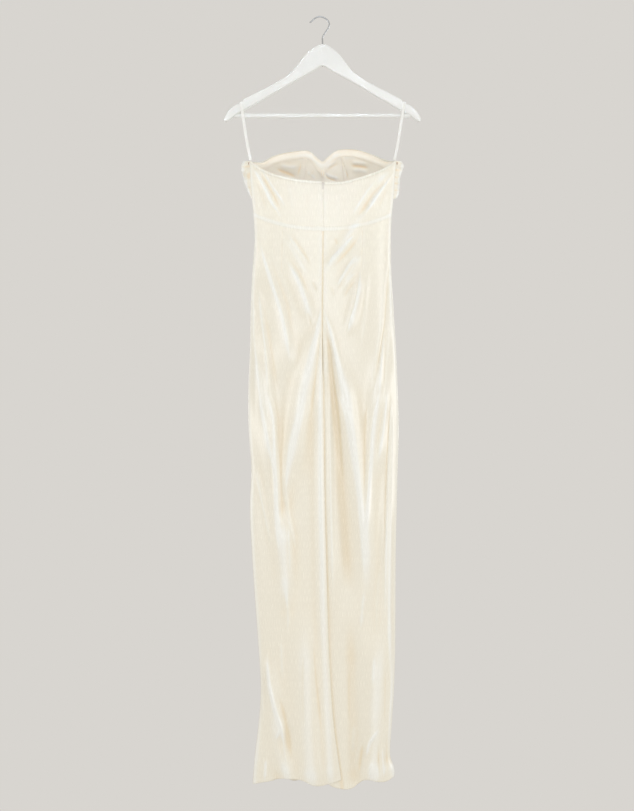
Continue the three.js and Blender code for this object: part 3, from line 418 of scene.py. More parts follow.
# Making meshes
pieces = {}                    # by the node of the solids that each one stands for


def blurred(grid, cells):
    """Moving average of a grid of points over some cells each way, twice."""
    for axis in (0, 1, 0, 1):
        reach = min(cells, grid.shape[axis] - 1)
        if reach < 1:
            continue
        pad = [(0, 0)] * 3
        pad[axis] = (reach + 1, reach)
        total = np.cumsum(np.pad(grid, pad, mode="reflect", reflect_type="odd"), axis=axis)
        ahead = np.take(total, np.arange(2 * reach + 1, total.shape[axis]), axis=axis)
        behind = np.take(total, np.arange(0, total.shape[axis] - 2 * reach - 1), axis=axis)
        grid = (ahead - behind) / (2 * reach + 1)
    return grid


def unit(v):
    return v / np.maximum(np.linalg.norm(v, axis=-1, keepdims=True), 1e-9)


def facing(points):
    """Unit normals of a grid of points: across its columns times along its rows."""
    return unit(np.cross(np.gradient(points, axis=1), np.gradient(points, axis=0)))


def make_mesh(name, points, faces, material, uv=None, hollow=None):
    """A mesh object at the origin, from points in millimetres, with the material that it is given."""
    mesh = bpy.data.meshes.new(name)
    mesh.from_pydata((points * MM).tolist(), [], faces if isinstance(faces, list) else faces.tolist())
    mesh.polygons.foreach_set("use_smooth", np.ones(len(mesh.polygons), bool))
    if uv is not None:
        layer = mesh.uv_layers.new(name="cloth")
        loops = np.empty(len(mesh.loops), np.int32)
        mesh.loops.foreach_get("vertex_index", loops)
        layer.data.foreach_set("uv", (uv[loops] * MM).ravel().astype(np.float32))
    if hollow is not None:
        mesh.attributes.new("hollow", "FLOAT", "POINT").data.foreach_set("value", hollow.astype(np.float32))
    mesh.materials.append(material)
    mesh.update()
    piece = bpy.data.objects.new(name, mesh)
    bpy.context.collection.objects.link(piece)
    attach(piece, "dress")
    return piece


def outwards(piece):
    """Turns every face outwards."""
    b = bmesh.new()
    b.from_mesh(piece.data)
    bmesh.ops.recalc_face_normals(b, faces=b.faces)
    b.to_mesh(piece.data)
    b.free()
    return piece


HOLLOW_DEPTH = 2.4             # a hollow this far below the cloth round it is fully hollow, and gets the full painted shade
RIM = 0.45                     # how far the rim stands out, in thicknesses
surface_of = {}                # each wall's surface, for the stitches that lie on it


def wall(name, surface, columns, rows, thickness, material, lift=0.0, rows_at=None, cells=6, shaded=None):
    """A closed cloth wall: the surface is moved out and in by half the thickness along its normal,
    and a rounded rim joins both along the four edges. How far a place lies in a hollow is kept for
    the colour, as the distance to the surface's moving average over some cells: it paints shade in hollows and a
    highlight on ridges, and shaded shifts that painted shade and light."""
    v = np.linspace(0, 1, rows + 1)
    u, v = np.meshgrid(np.linspace(0, 1, columns + 1), rows_at(v) if rows_at else v)
    surface_of[name] = surface
    points = surface(u, v)
    normal = facing(points)
    depth = np.sum((blurred(points, cells) - points) * normal, axis=-1)
    hollow = 0.5 + 0.5 * np.clip(depth / HOLLOW_DEPTH, -1, 1)
    if shaded is not None:
        hollow = np.clip(hollow + shaded(points), 0, 1)
    middle = points + normal * lift
    outer, inner = middle + normal * thickness / 2, middle - normal * thickness / 2
    stride = columns + 1
    index = np.arange((rows + 1) * stride).reshape(rows + 1, stride)
    border = np.concatenate([index[0, :-1], index[:-1, -1], index[-1, :0:-1], index[:0:-1, 0]])
    within = np.concatenate([index[1, :-1], index[:-1, -2], index[-2, :0:-1], index[:0:-1, 1]])
    flat = middle.reshape(-1, 3)
    rim = flat[border] + unit(flat[border] - flat[within]) * thickness * RIM
    count = index.size
    a, b, c, d = index[:-1, :-1].ravel(), index[:-1, 1:].ravel(), index[1:, 1:].ravel(), index[1:, :-1].ravel()
    r = np.arange(len(border)) + 2 * count
    following = np.roll(np.arange(len(border)), -1)
    faces = np.concatenate([
        np.stack([a, b, c, d], 1), np.stack([a, d, c, b], 1) + count,
        np.stack([border + count, border[following] + count, r[following], r], 1),
        np.stack([r, r[following], border[following], border], 1),
    ])
    step = np.linalg.norm(np.diff(points, axis=1), axis=-1)
    run = np.concatenate([np.zeros((rows + 1, 1)), np.cumsum(step, axis=1)], 1)
    mid_column = columns // 2
    run = run - run[:, mid_column:mid_column + 1] + points[:, mid_column:mid_column + 1, 0]
    uv = np.stack([run, points[..., 2]], -1).reshape(-1, 2)
    uv = np.concatenate([uv, uv, uv[border]])
    hollow = hollow.ravel()
    hollow = np.concatenate([hollow, 1 - hollow, hollow[border]])
    vertices = np.concatenate([outer.reshape(-1, 3), inner.reshape(-1, 3), rim])
    return make_mesh(name, vertices, faces, material, uv=uv, hollow=hollow)


def ring_quads(rings, sides):
    """Quads between neighbouring rings, whose points are numbered ring by ring."""
    i, j = np.meshgrid(np.arange(rings - 1), np.arange(sides), indexing="ij")
    k = (j + 1) % sides
    return np.stack([i * sides + j, i * sides + k, (i + 1) * sides + k, (i + 1) * sides + j], -1).reshape(-1, 4)


def cap(first, sides, pole):
    """Triangles from the ring that starts at point first to a pole."""
    j = np.arange(sides)
    return np.stack([first + j, first + (j + 1) % sides, np.full(sides, pole)], 1)


def ringed(name, rings, start, end, material):
    """A closed body from rings of points, drawn in to a point at both ends."""
    count, sides = rings.shape[:2]
    points = np.concatenate([rings.reshape(-1, 3), [start], [end]])
    poles = len(points) - 2, len(points) - 1
    faces = ring_quads(count, sides).tolist() + cap(0, sides, poles[0]).tolist() \
        + cap((count - 1) * sides, sides, poles[1]).tolist()
    return outwards(make_mesh(name, points, faces, material))


def tube(name, path, radius, material, sides):
    """A round bar along a path: circles across it."""
    side = np.broadcast_to([0.0, 1.0, 0.0], path.shape)
    along = unit(np.gradient(path, axis=0))
    other = unit(np.cross(along, side))
    side = unit(np.cross(other, along))
    radius = np.broadcast_to(radius, len(path))[:, None, None]
    angle = np.linspace(0, 2 * np.pi, sides, endpoint=False)[None, :, None]
    rings = path[:, None] + radius * (np.cos(angle) * side[:, None] + np.sin(angle) * other[:, None])
    return ringed(name, rings, path[0], path[-1], material)


def spline(points, count):
    """A centripetal curve through the points, sampled evenly along its length."""
    points = np.array(points, float)
    ends = np.concatenate([[2 * points[0] - points[1]], points, [2 * points[-1] - points[-2]]])
    knots = np.concatenate([[0], np.cumsum(np.linalg.norm(np.diff(ends, axis=0), axis=1) ** 0.5)])
    fine = []
    for i in range(1, len(ends) - 2):
        t = np.linspace(knots[i], knots[i + 1], 24, endpoint=False)[:, None]
        p = ends[i - 1:i + 3]
        k = knots[i - 1:i + 3]
        a = [((k[j + 1] - t) * p[j] + (t - k[j]) * p[j + 1]) / (k[j + 1] - k[j]) for j in range(3)]
        b = [((k[j + 2] - t) * a[j] + (t - k[j]) * a[j + 1]) / (k[j + 2] - k[j]) for j in range(2)]
        fine.append(((k[2] - t) * b[0] + (t - k[1]) * b[1]) / (k[2] - k[1]))
    fine = np.concatenate(fine + [points[-1:]])
    run = np.concatenate([[0], np.cumsum(np.linalg.norm(np.diff(fine, axis=0), axis=1))])
    at = np.linspace(0, run[-1], count)
    return np.stack([np.interp(at, run, fine[:, c]) for c in range(3)], 1)


# Materials
def linear(code):
    """An sRGB hex colour as linear red, green, blue and alpha."""
    channels = [int(code[i:i + 2], 16) / 255 for i in (1, 3, 5)]
    return [c / 12.92 if c <= 0.04045 else ((c + 0.055) / 1.055) ** 2.4 for c in channels] + [1.0]


def dimmed(code, share):
    """A share of a colour's light."""
    return [share * c for c in linear(code)[:3]] + [1.0]


def add(material, kind, sockets=(), **settings):
    """Adds one node with its settings, and its inputs as values or as the outputs that feed them."""
    node = material.node_tree.nodes.new(kind)
    for name, value in settings.items():
        setattr(node, name, value)
    for name, value in dict(sockets).items():
        if isinstance(value, bpy.types.NodeSocket):
            material.node_tree.links.new(value, node.inputs[name])
        else:
            node.inputs[name].default_value = value
    return node


def place(m):
    return add(m, "ShaderNodeTexCoord").outputs["Object"]


def cloth_uv(m):
    return add(m, "ShaderNodeUVMap", uv_map="cloth").outputs[0]


def stretched(m, vector, scale):
    return add(m, "ShaderNodeMapping", {"Vector": vector, "Scale": scale}).outputs[0]


def noise(m, vector, scale, detail):
    return add(m, "ShaderNodeTexNoise", {"Vector": vector, "Scale": scale, "Detail": detail}).outputs[0]


def waves(m, vector, scale, direction):
    return add(m, "ShaderNodeTexWave", {"Vector": vector, "Scale": scale}, wave_type="BANDS",
               bands_direction=direction).outputs["Fac"]


def bump(m, height, strength, distance, **more):
    return add(m, "ShaderNodeBump", {"Height": height, "Strength": strength, "Distance": distance, **more}).outputs[0]


def ranged(m, value, low, high):
    """A value from 0 to 1, brought between low and high."""
    return add(m, "ShaderNodeMapRange", {"Value": value, "To Min": low, "To Max": high}).outputs[0]


def past(m, value, start, end):
    """0 before the start and 1 past the end, with soft ends."""
    return add(m, "ShaderNodeMapRange", {"Value": value, "From Min": start, "From Max": end},
               interpolation_type="SMOOTHSTEP").outputs[0]


def blend(m, factor, first, second):
    """The first colour where the factor is 0 and the second where it is 1."""
    return add(m, "ShaderNodeMix", {"Factor": factor, 6: first, 7: second}, data_type="RGBA").outputs[2]


def new_material(name):
    material = bpy.data.materials.new(name)
    material.use_nodes = True
    material.node_tree.nodes.clear()
    return material


def finish_material(material, sockets):
    shader = add(material, "ShaderNodeBsdfPrincipled", sockets)
    add(material, "ShaderNodeOutputMaterial", {"Surface": shader.outputs[0]})
    return material


def satin(name, light, body_colour, hollow_shade_colour, roughness, specular, crumple):
    """Satin: warp floats run along the piece, so fine streaks follow its length; hollows are painted warmer as
    painted shade for light that bounces in them, ridges are painted lighter as painted highlight, and a soft crumple
    breaks up the sheen."""
    m = new_material(name)
    uv = cloth_uv(m)
    hollow = add(m, "ShaderNodeAttribute", attribute_name="hollow").outputs["Fac"]
    streak = noise(m, stretched(m, uv, (1, 0.045, 1)), 1300, 3)
    slow = noise(m, stretched(m, uv, (1, 0.4, 1)), 26, 1)
    # painted highlight: the body colour turns to the light colour on ridges; painted shade: it turns to the hollow
    # colour in hollows
    ridge_highlight_colour = blend(m, past(m, hollow, 0.5, 0.1), linear(body_colour), linear(light))
    return finish_material(m, {
        "Base Color": blend(m, past(m, hollow, 0.5, 0.95), ridge_highlight_colour, linear(hollow_shade_colour)),
        "Roughness": ranged(m, streak, roughness - 0.004, roughness + 0.01),
        "Normal": bump(m, slow, crumple, 0.004, Normal=bump(m, streak, 0.003, 0.0003)),
        "IOR": 1.5, "Specular IOR Level": specular, "Coat Weight": 0.4, "Coat Roughness": 0.3, "Coat IOR": 1.6,
        "Sheen Weight": 0.12, "Sheen Roughness": 0.4, "Sheen Tint": linear("#fff8ea"),
    })


def ribbon_material():
    """Grosgrain ribbon: fine ribs across its length, 0.9 mm apart and drawn a little coarse; the grooves between them
    are painted a shade darker, as painted shade.
    """
    m = new_material("grosgrain_ribbon")
    ribs = waves(m, cloth_uv(m), 340, "Y")
    # painted shade: the colour is darker in the ribs' grooves
    return finish_material(m, {
        "Base Color": blend(m, ribs, linear("#f2f2ed"), linear("#f8f8f4")), "Roughness": 0.6,
        "Normal": bump(m, ribs, 0.35, 0.0003), "Sheen Weight": 0.1,
    })


def painted_wood():
    """Lotus wood under white satin paint: a faint grain shows through as low ridges along the arms."""
    m = new_material("white_painted_wood")
    where = place(m)
    grain = noise(m, stretched(m, where, (0.16, 1, 1)), 140, 3)
    return finish_material(m, {
        "Base Color": blend(m, noise(m, where, 22, 2), linear("#edeeeb"), linear("#f1f2ef")),
        "Roughness": ranged(m, grain, 0.5, 0.64), "Normal": bump(m, grain, 0.03, 0.0003),
    })


def metal(name, colour, roughness, scale):
    """Bare or plated metal: its roughness wanders a little where fingers and cloth have rubbed it."""
    m = new_material(name)
    rub = noise(m, place(m), scale, 3)
    return finish_material(m, {
        "Base Color": blend(m, rub, linear(colour), dimmed(colour, 0.86)),
        "Roughness": ranged(m, rub, roughness * 0.7, roughness * 1.5), "Metallic": 1.0,
    })


def plied_thread(name, colour):
    """Sewing thread of twisted plies: slanting ridges 0.5 mm apart, painted darker between the plies as painted
    shade.
    """
    m = new_material(name)
    plies = waves(m, place(m), 320, "DIAGONAL")
    return finish_material(m, {
        "Base Color": blend(m, plies, dimmed(colour, 0.8), linear(colour)), "Roughness": 0.55,
        "Normal": bump(m, plies, 0.5, 0.0002),
    })


# Woven polyester satin with a soft lustre: broad milky highlights, from the lamps and also painted lighter on ridges,
# on a cream ground, with painted shade in its hollows
satin_outside = satin("polyester_satin", "#f6f6ef", "#f2eddd", "#efe2c7", 0.27, 1.0, 0.22)
# The same satin's inside and lining: a little duller, and its colours are painted lighter and warmer than the
# outside's as painted light, as it sees less light
satin_lining = satin("satin_lining", "#fefaf0", "#fdf5e4", "#f6dfb6", 0.34, 0.8, 0.20)
tan_thread = plied_thread("tan_polyester_thread", "#a9743f")                # the bar tacks' contrasting thread
ribbon = ribbon_material()
paint = painted_wood()
hook_chrome = metal("chromed_steel_wire", "#c9cbcd", 0.12, 240)             # bright plating on bent wire
zip_metal = metal("cream_lacquered_zip_metal", "#e4dfd2", 0.42, 900)        # die-cast, dyed to match the satin

# Back skirts
HEM_LEFT = table(["x", "z"], [
    (-160, -1706.5), (-135, -1699), (-117, -1695), (-101, -1690), (-88, -1688), (-72, -1688.6), (-50, -1689.6),
    (-38, -1693.5), (-23, -1701), (-6, -1702.8), (14, -1698.3), (28, -1694.4), (50, -1688.2),
])
HEM_RIGHT = table(["x", "z"], [
    (0, -1692.7), (10, -1696.6), (21, -1704.6), (39, -1710.2), (55, -1712.1), (68, -1708.6), (79, -1699.9),
    (90, -1692.5), (104, -1690.7), (119, -1694.7), (137, -1697.1), (148, -1694.2), (158, -1689),
])
HEMS = {"left": curve(HEM_LEFT, "x", "z"), "right": curve(HEM_RIGHT, "x", "z")}
HEM_LEVEL = -1700              # about where the hem lies, to start from
LAP_OUT, LAP_IN = 0.35, 0.65   # shares of the lap's step that the left back stands out and the right one in
SOLVE_ROUNDS = 4               # an edge's height depends on x, and x on the height


def back_skirt(side):
    """One back skirt: v runs from the hem to the waist seam, u from the side seam to the centre-back
    line or back, and the left one lies over the right below the slit's top."""
    is_left = side == "left"

    def surface(u, v):
        z = mix(HEM_LEVEL, waist_z(0) - SEAM_GAP, v)
        for _ in range(SOLVE_ROUNDS):
            under = SLIT_LAP * smooth(SLIT_TOP, -1690, z) ** 0.7
            edge = centre_back(z) - SEAM_GAP / 2 if is_left else centre_back(z) + SEAM_GAP / 2 - under
            edge_s = column_of(fraction_at(edge, z))
            s = column(u * edge_s) if is_left else column(mix(edge_s, 1, u))
            x = across(s, z)
            z = mix(HEMS[side](x), waist_z(s) - SEAM_GAP, v)
        points = back_surface(fraction_at(x, z), z)
        away = (points[..., 0] - centre_back(z)) / LAP_REACH
        step = LAP_STEP * smooth(SLIT_TOP + 90, SLIT_TOP + 10, z) * np.exp(-away * away)
        points[..., 1] += (-LAP_OUT if is_left else LAP_IN) * step
        return points
    return surface


# Painted shade along the centre seam and from the lap: how much, and how far it reaches
SEAM_SHADE, SEAM_REACH = 0.45, 2.2
LAP_SHADE, LAP_SHADOW = 0.32, 5


def seam_painted_shade(points):
    """Painted shade: the centre seam above the slit is painted as a warmer line, for the shade in its groove."""
    away = points[..., 0] - centre_back(points[..., 2])
    return SEAM_SHADE * smooth(-800, -740, points[..., 2]) * np.exp(-(away / SEAM_REACH) ** 2)


def under_lap_painted_shade(points):
    """Painted shade: where the right back comes out from under the left one it is painted warmer, for the shadow of
    the lap.
    """
    away = points[..., 0] - centre_back(points[..., 2])
    painted_shade = LAP_SHADE * smooth(-700, -800, points[..., 2]) * np.exp(-(away / LAP_SHADOW) ** 2)
    return painted_shade + seam_painted_shade(points)


def even_painted_tone(tone):
    """The same change of tone all over a piece: as painted light, lighter on the side that it faces where it is
    negative, and as painted shade, warmer where it is positive.
    """
    return lambda points: np.full(points.shape[:-1], tone)


# painted highlight: the waistbands and bindings are painted a little lighter, as if they caught more light
painted_highlight_tone = even_painted_tone(-0.08)
ROW_CROWDING = 0.18


def denser_above(t):
    """Rows of a skirt: closer together towards the waist, where the creases are finest."""
    return t + ROW_CROWDING * np.sin(np.pi * t) * t


SKIRT_COLUMNS, SKIRT_ROWS = 108, 430
# painted shade: the left back along the centre seam, the right one along it and under the lap
for side, painted_shade in (("left", seam_painted_shade), ("right", under_lap_painted_shade)):
    pieces[f"back_skirt_{side}"] = wall(f"satin_back_skirt_{side}", back_skirt(side), SKIRT_COLUMNS, SKIRT_ROWS,
                                        CLOTH, satin_outside, rows_at=denser_above, shaded=painted_shade)

# Front skirt: one width from side seam to side seam
HEM_FRONT = table(["x", "z"], [
    (-160, -1702.5), (-116, -1706), (-90, -1699), (-62, -1707), (-30, -1699), (0, -1707),
    (34, -1697), (66, -1706), (92, -1697), (116, -1703), (158, -1689),
])
hem_front = curve(HEM_FRONT, "x", "z")


def front_skirt_surface(u, v):
    """The front from the hem, at v = 0, to the waist seam, and from the right side seam to the left one."""
    s = -column(u)
    return front_surface(s, mix(hem_front(across(s, HEM_LEVEL)), waist_z(s) - SEAM_GAP, v))


pieces["front_skirt"] = wall("satin_front_skirt", front_skirt_surface, 170, 260, CLOTH, satin_outside,
                             rows_at=denser_above)

# Waistband: a narrow turned strip over the waist seam, plump across its width
BAND_PLUMP, BAND_SQUARENESS = 0.7, 0.6
BACK_COLUMNS = 110


def beside_zip(side, u, gap):
    """The shares of the half width from the side seam to the zip, or back, which stop a gap short of it."""
    if side == "left":
        return column(u * column_of(s_at_waist(ZIP_X - gap)))
    return column(mix(column_of(s_at_waist(ZIP_X + gap)), 1, u))


def band(surface, columns_at):
    """A strip of the surface over the waist line, plump by a power of a sine across its width."""
    def on(u, v):
        s = columns_at(u)
        points = surface(s, waist_z(s) + WAISTBAND_HEIGHT * v)
        plump = BAND_PLUMP * np.sin(np.pi * np.clip(v, 0, 1)) ** BAND_SQUARENESS * side_fade(s, 0.05)
        points[..., 1] += np.sign(points[..., 1]) * plump
        return points
    return on


for side in SIDES:
    pieces[f"waistband_back_{side}"] = wall(
        f"turned_waistband_back_{side}", band(back_surface, lambda u, side=side: beside_zip(side, u, SEAM_GAP / 2)),
        BACK_COLUMNS, 10, BAND_CLOTH, satin_outside, shaded=painted_highlight_tone)
pieces["waistband_front"] = wall("turned_waistband_front", band(front_surface, lambda u: -column(u)), 160, 8,
                                 BAND_CLOTH, satin_outside, shaded=painted_highlight_tone)

# Back bodice, parted by the zip, with its dipping bound edge
top_edge = curve(table(["x", "z"], [
    (-162, -317), (-144, -333.1), (-117, -347.4), (-83.5, -357.3), (-57, -363), (-28, -366.3), (1, -368.5),
    (28, -369.4), (50, -367.5), (83.5, -358.3), (110, -349.5), (139, -335.8), (164, -317),
]), "x", "z")

BINDING_LIFT = BODICE_CLOTH / 2 + SEAM_GAP + CLOTH / 2
BINDING_ZIP_CLEAR = 3.4
BINDING_SIDE_CLEAR = 0.985     # the binding stops at this share of the half width
BINDING_PLUMP = 0.35
APART = 0.0001                 # keeps columns from falling together where they are cut off


def bodice_surface(s, v):
    """The back from the waistband, at v = 0, to the bound edge, whose height depends on x."""
    low = waist_z(s) + WAISTBAND_HEIGHT + SEAM_GAP
    z = low
    for _ in range(SOLVE_ROUNDS):
        z = mix(low, top_edge(across(s, z)), v)
    return back_surface(s, z)


def bodice(side):
    return lambda u, v: bodice_surface(beside_zip(side, u, SEAM_GAP / 2), v)


def binding(side):
    """The binding lies on the bodice's upper edge and is a little plump across its width."""
    def surface(u, v):
        s = beside_zip(side, u, BINDING_ZIP_CLEAR)
        s = np.maximum(s, -BINDING_SIDE_CLEAR - APART * (1 - u)) if side == "left" \
            else np.minimum(s, BINDING_SIDE_CLEAR + APART * u)
        z = bodice_surface(s, np.ones_like(v))[..., 2] - BINDING_HEIGHT * (1 - v)
        points = back_surface(s, z)
        points[..., 1] -= BINDING_PLUMP * np.sin(np.pi * v)
        return points
    return surface


for side in SIDES:
    pieces[f"back_bodice_{side}"] = wall(f"satin_back_bodice_{side}", bodice(side), BACK_COLUMNS, 80, BODICE_CLOTH,
                                         satin_outside)
for side in SIDES:
    pieces[f"back_binding_{side}"] = wall(f"bound_edge_{side}", binding(side), BACK_COLUMNS, 6, CLOTH, satin_outside,
                                          lift=BINDING_LIFT, shaded=painted_highlight_tone)


# Front bodice: midriff, and two gathered cups up to the sweetheart neckline
UNDERBUST_Z, UNDERBUST_DIP = -405, 14


def underbust_z(s):
    """The seam under the bust: it dips under each cup, halfway out to the side seam."""
    return UNDERBUST_Z - UNDERBUST_DIP * np.sin(np.pi * s) ** 2


def midriff_surface(u, v):
    """The front from the waistband, at v = 0, to the seam under the bust."""
    s = -column(u)
    return front_surface(s, mix(waist_z(s) + WAISTBAND_HEIGHT + SEAM_GAP, underbust_z(s) - SEAM_GAP, v))


pieces["front_midriff"] = wall("satin_front_midriff", midriff_surface, 160, 26, BODICE_CLOTH, satin_outside)

neckline = curve(table(["x", "z"], [
    (-181, -318), (-163, -318), (-134.8, -315.5), (-112.5, -301.7), (-88, -293.2), (-61.3, -288.7),
    (-36.8, -287.6), (-25.6, -291.7), (-14.5, -301), (-5.6, -309.1), (1.1, -312.5), (10, -304.1),
    (23.4, -292.8), (34.5, -286.8), (50, -284.2), (72.4, -284.6), (90.2, -288.7), (110.3, -296.9),
    (128, -306.1), (146, -315.1), (164, -317.5), (181, -318),
]), "x", "z")
NECKLINE_LEVEL = -305
# How far the cups swell past the side seams
LOBES = table(["z", "left", "right"], [
    (-407, 3, 9), (-397, 8.5, 15.5), (-385, 13.2, 18.5), (-374, 16.8, 18.6), (-363, 20.3, 18.6),
    (-352, 23.3, 19), (-338, 26, 22.5), (-325, 26, 24.5), (-317, 20, 19),
])
lobe_left = curve(LOBES, "z", "left")
lobe_right = curve(LOBES, "z", "right")
LOBE_PEAK = 0.045              # share of the half width, in from the seam, where the swelling is fullest
# The swelling: how far out, where, how wide, and the share of half a wave that it takes up in height
CUP_BULGE, CUP_CENTRE_X, CUP_HALF_WIDTH, CUP_FULL = 26, 82, 62, 0.75
CUP_SIDE_CLEAR = 1.1           # a cup stands clear of the back by this at the side seam
CUP_GATHERS, FINE_GATHERS, FINE_SHARE, GATHER_DEPTH = 8, 19, 0.38, 1.7
GATHER_ASIDE, TUCK_ASIDE = 0.22, 0.12     # shares of a gather's or tuck's depth that go sideways
EVEN_PULL = 0.3                # how deep the gathers are all over a cup,
SEAM_PULL, SEAM_PULL_REACH = 0.7, 0.2     # how much deeper at the side seams, in shares of the half width,
CENTRE_PULL, CENTRE_PULL_REACH = 0.6, 25  # and at the centre front, in millimetres
# Tucks where the cups swell past the side seams: side, height of its middle, how far it stands out, half height
LOBE_TUCKS = [
    (-1, -321, 1.6, 4), (-1, -329, -1.6, 4), (-1, -338, 2.4, 4.5), (-1, -350, -8.5, 9), (-1, -367, 1.8, 4),
    (-1, -376, -1.4, 4), (-1, -386, 0.8, 4),
    (1, -321, -1.4, 3), (1, -328, 1.6, 4), (1, -337, -1.8, 3.4), (1, -345, 1.5, 3.4), (1, -353, -1.7, 3),
    (1, -360, 1.6, 3), (1, -367, -2.0, 3), (1, -374, 1.5, 3), (1, -382, -1.6, 3), (1, -389, 1.2, 3),
]
TUCK_SLANT = 60                # a tuck climbs by this for each half width that it runs inwards


def cup_surface(s, v, gathered):
    """A cup: the front's section with a bell-shaped swelling, past the side seam where it is gathered,
    and waves of gathers that fade towards its edges."""
    inward, sign = 1 - np.abs(s), np.sign(s)
    z = mix(underbust_z(s), neckline(across(s, NECKLINE_LEVEL)), v)
    x = across(s, z)
    aside = (np.abs(x) - CUP_CENTRE_X) / CUP_HALF_WIDTH
    bulge = CUP_BULGE * np.exp(-aside**2) * np.sin(CUP_FULL * np.pi * v**0.85)
    y = SIDE_SEAM_HALF + front_depth(z) * lens(s) + bulge
    if not gathered:
        return stack(x, y, z)
    clear = smooth(0, 0.08, v)
    peak = inward / LOBE_PEAK
    x = x + sign * np.where(sign < 0, lobe_left(z), lobe_right(z)) * peak * np.exp(1 - peak) * clear
    y = y + CUP_SIDE_CLEAR * (1 - smooth(0, 0.1, inward)) * clear
    pulled = EVEN_PULL + SEAM_PULL * np.exp(-inward / SEAM_PULL_REACH) \
        + CENTRE_PULL * np.exp(-np.abs(x) / CENTRE_PULL_REACH)
    settled = smooth(0, 0.04, inward) * smooth(0.06, 0.16, v) * (1 - smooth(0.86, 0.97, v))
    phase = v + 0.035 * np.sin(11 * v + 3 * sign) + 0.015 * np.sin(9 * s)
    wave = np.cos(2 * np.pi * CUP_GATHERS * phase)
    fine = np.cos(2 * np.pi * (FINE_GATHERS * phase + 0.4 * np.sin(7 * s + 2)))
    wave = wave + FINE_SHARE * fine * (0.5 + 0.5 * np.sin(13 * s + 9 * v))
    for side, height, depth, reach in LOBE_TUCKS:
        slant = height + TUCK_SLANT * (inward - 0.03) * np.sign(depth)
        here = (sign == side) * np.exp(-((z - slant) / reach) ** 2) \
            * smooth(0.002, 0.018, inward) * (1 - smooth(0.05, 0.16, inward))
        y = y - depth * here
        x = x + TUCK_ASIDE * side * depth * here
    turn = (np.pi / 2) * smooth(0, 0.35, inward)
    x = x + GATHER_ASIDE * sign * np.cos(turn) * GATHER_DEPTH * pulled * settled * wave
    y = y + np.sin(turn) * GATHER_DEPTH * pulled * settled * wave
    return stack(x, y, z)


LOBE_SHADE_PER_MM, LOBE_SHADE_MOST = 0.28, 0.9     # painted shade for each millimetre that a tuck is hollow, and at most
LOBE_FROM = (157, 163)         # the painted shade comes up between these distances from the middle


def lobe_painted_shade(points):
    """Painted shade: beyond the side seams the hollow tucks are painted warmer, for the shade and bounced light in
    them.
    """
    x, z = points[..., 0], points[..., 2]
    painted_shade = np.zeros(x.shape)
    for side, height, depth, reach in LOBE_TUCKS:
        if depth < 0:
            tuck_shade = min(-LOBE_SHADE_PER_MM * depth, LOBE_SHADE_MOST)
            painted_shade += (np.sign(x) == side) * tuck_shade * np.exp(-((z - height) / (0.8 * reach)) ** 2)
    return painted_shade * smooth(*LOBE_FROM, np.abs(x)) * smooth(30, 10, points[..., 1])


CENTRE_GAP = 0.001             # half the gap at the centre front, as a share of the half width


def cup(side):
    """One cup: u runs from the centre front to the left side seam, or from the right one to the centre front."""
    def surface(u, v):
        middle = column_of(-CENTRE_GAP)
        s = column(mix(middle, 0, u)) if side == "left" else -column(mix(0, middle, u))
        low = SEAM_GAP / (neckline(across(s, NECKLINE_LEVEL)) - underbust_z(s))
        return cup_surface(s, mix(low, 1, v), True)
    return surface


for side in SIDES:
    pieces[f"front_cup_{side}"] = wall(f"gathered_cup_{side}", cup(side), 90, 110, CLOTH, satin_outside, cells=9,
                                       shaded=lobe_painted_shade)

# Inside of the cups: lining panels, neckline facing and boning channels
LINING_SIDE, LINING_LOW, LINING_TOP, LINING_INSET = 0.955, 0.02, 0.985, 5.5
EDGE_INSET = CLOTH + SEAM_GAP
PANEL_SEAMS = {"left": (-0.29, -0.225), "right": (0.37, 0.24)}
FACING_ROW, FACING_HEIGHT, FACING_POINT, INSIDE_GAP = 6 / 7, 13.5, 13, 0.6
CHANNEL_HALF_WIDTH, CHANNEL_CLOTH = 0.021, 1.6
STRAIGHT_IN = 0.05             # this near the centre front the pieces move straight in, so that they meet there
PANEL_PAINTED_LIGHT, FACING_PAINTED_LIGHT, CASING_PAINTED_LIGHT = 0.14, 0.02, 0.15    # painted light: these are seen on their inner side, so positive values paint them lighter there, as if more light reached inside the cups
# Creases of the lining: height, width, and the places that they run through
LINING_CREASES = [
    # left panels
    (-1.8, 4.5, [(-112, -327), (-88, -333), (-68, -340), (-52, -345)]),
    (2.0, 5.5, [(-104, -316), (-84, -320), (-64, -321), (-50, -318)]),
    (-1.6, 9.0, [(-57, -340), (-51, -329), (-45, -316)]),
    (1.5, 6.0, [(-66, -352), (-84, -350), (-104, -344)]),
    (-1.2, 4.0, [(-29, -346), (-22, -338), (-16, -332)]),
    (1.2, 4.0, [(-34, -334), (-26, -340), (-12, -350)]),
    # the folds that spread from the tack
    (-2.2, 2.2, [(1, -338), (8.6, -347), (18, -352), (31, -355)]),
    (2.0, 3.0, [(2, -333), (12, -342), (24, -347), (38, -349)]),
    (-1.4, 3.0, [(6, -331), (18.5, -325), (36.4, -315)]),
    (1.8, 4.0, [(4, -325), (16, -317), (30, -308)]),
    # right panels
    (-1.8, 5.0, [(40, -305), (48, -323), (56, -341), (61, -352)]),
    (1.8, 5.0, [(60, -311), (84, -311), (108, -313)]),
    (-1.6, 4.6, [(58, -318), (84, -320), (112, -326)]),
    (1.6, 4.6, [(62, -330), (86, -330), (110, -335)]),
]


def facing_low(s):
    """The facing's lower edge: deepest at the centre front, where it comes to a point above the tack."""
    x = across(s, NECKLINE_LEVEL)
    height = FACING_HEIGHT + FACING_POINT * (1 - smooth(6, 30, np.abs(x)))
    return LINING_TOP - height / (neckline(x) - underbust_z(s))


def lining_v(s, v):
    """The height share on the cup of a row of the lining: the facing starts at its own row."""
    return np.where(v < FACING_ROW, mix(LINING_LOW, facing_low(s), v / FACING_ROW),
                    mix(facing_low(s), LINING_TOP, (v - FACING_ROW) / (1 - FACING_ROW)))


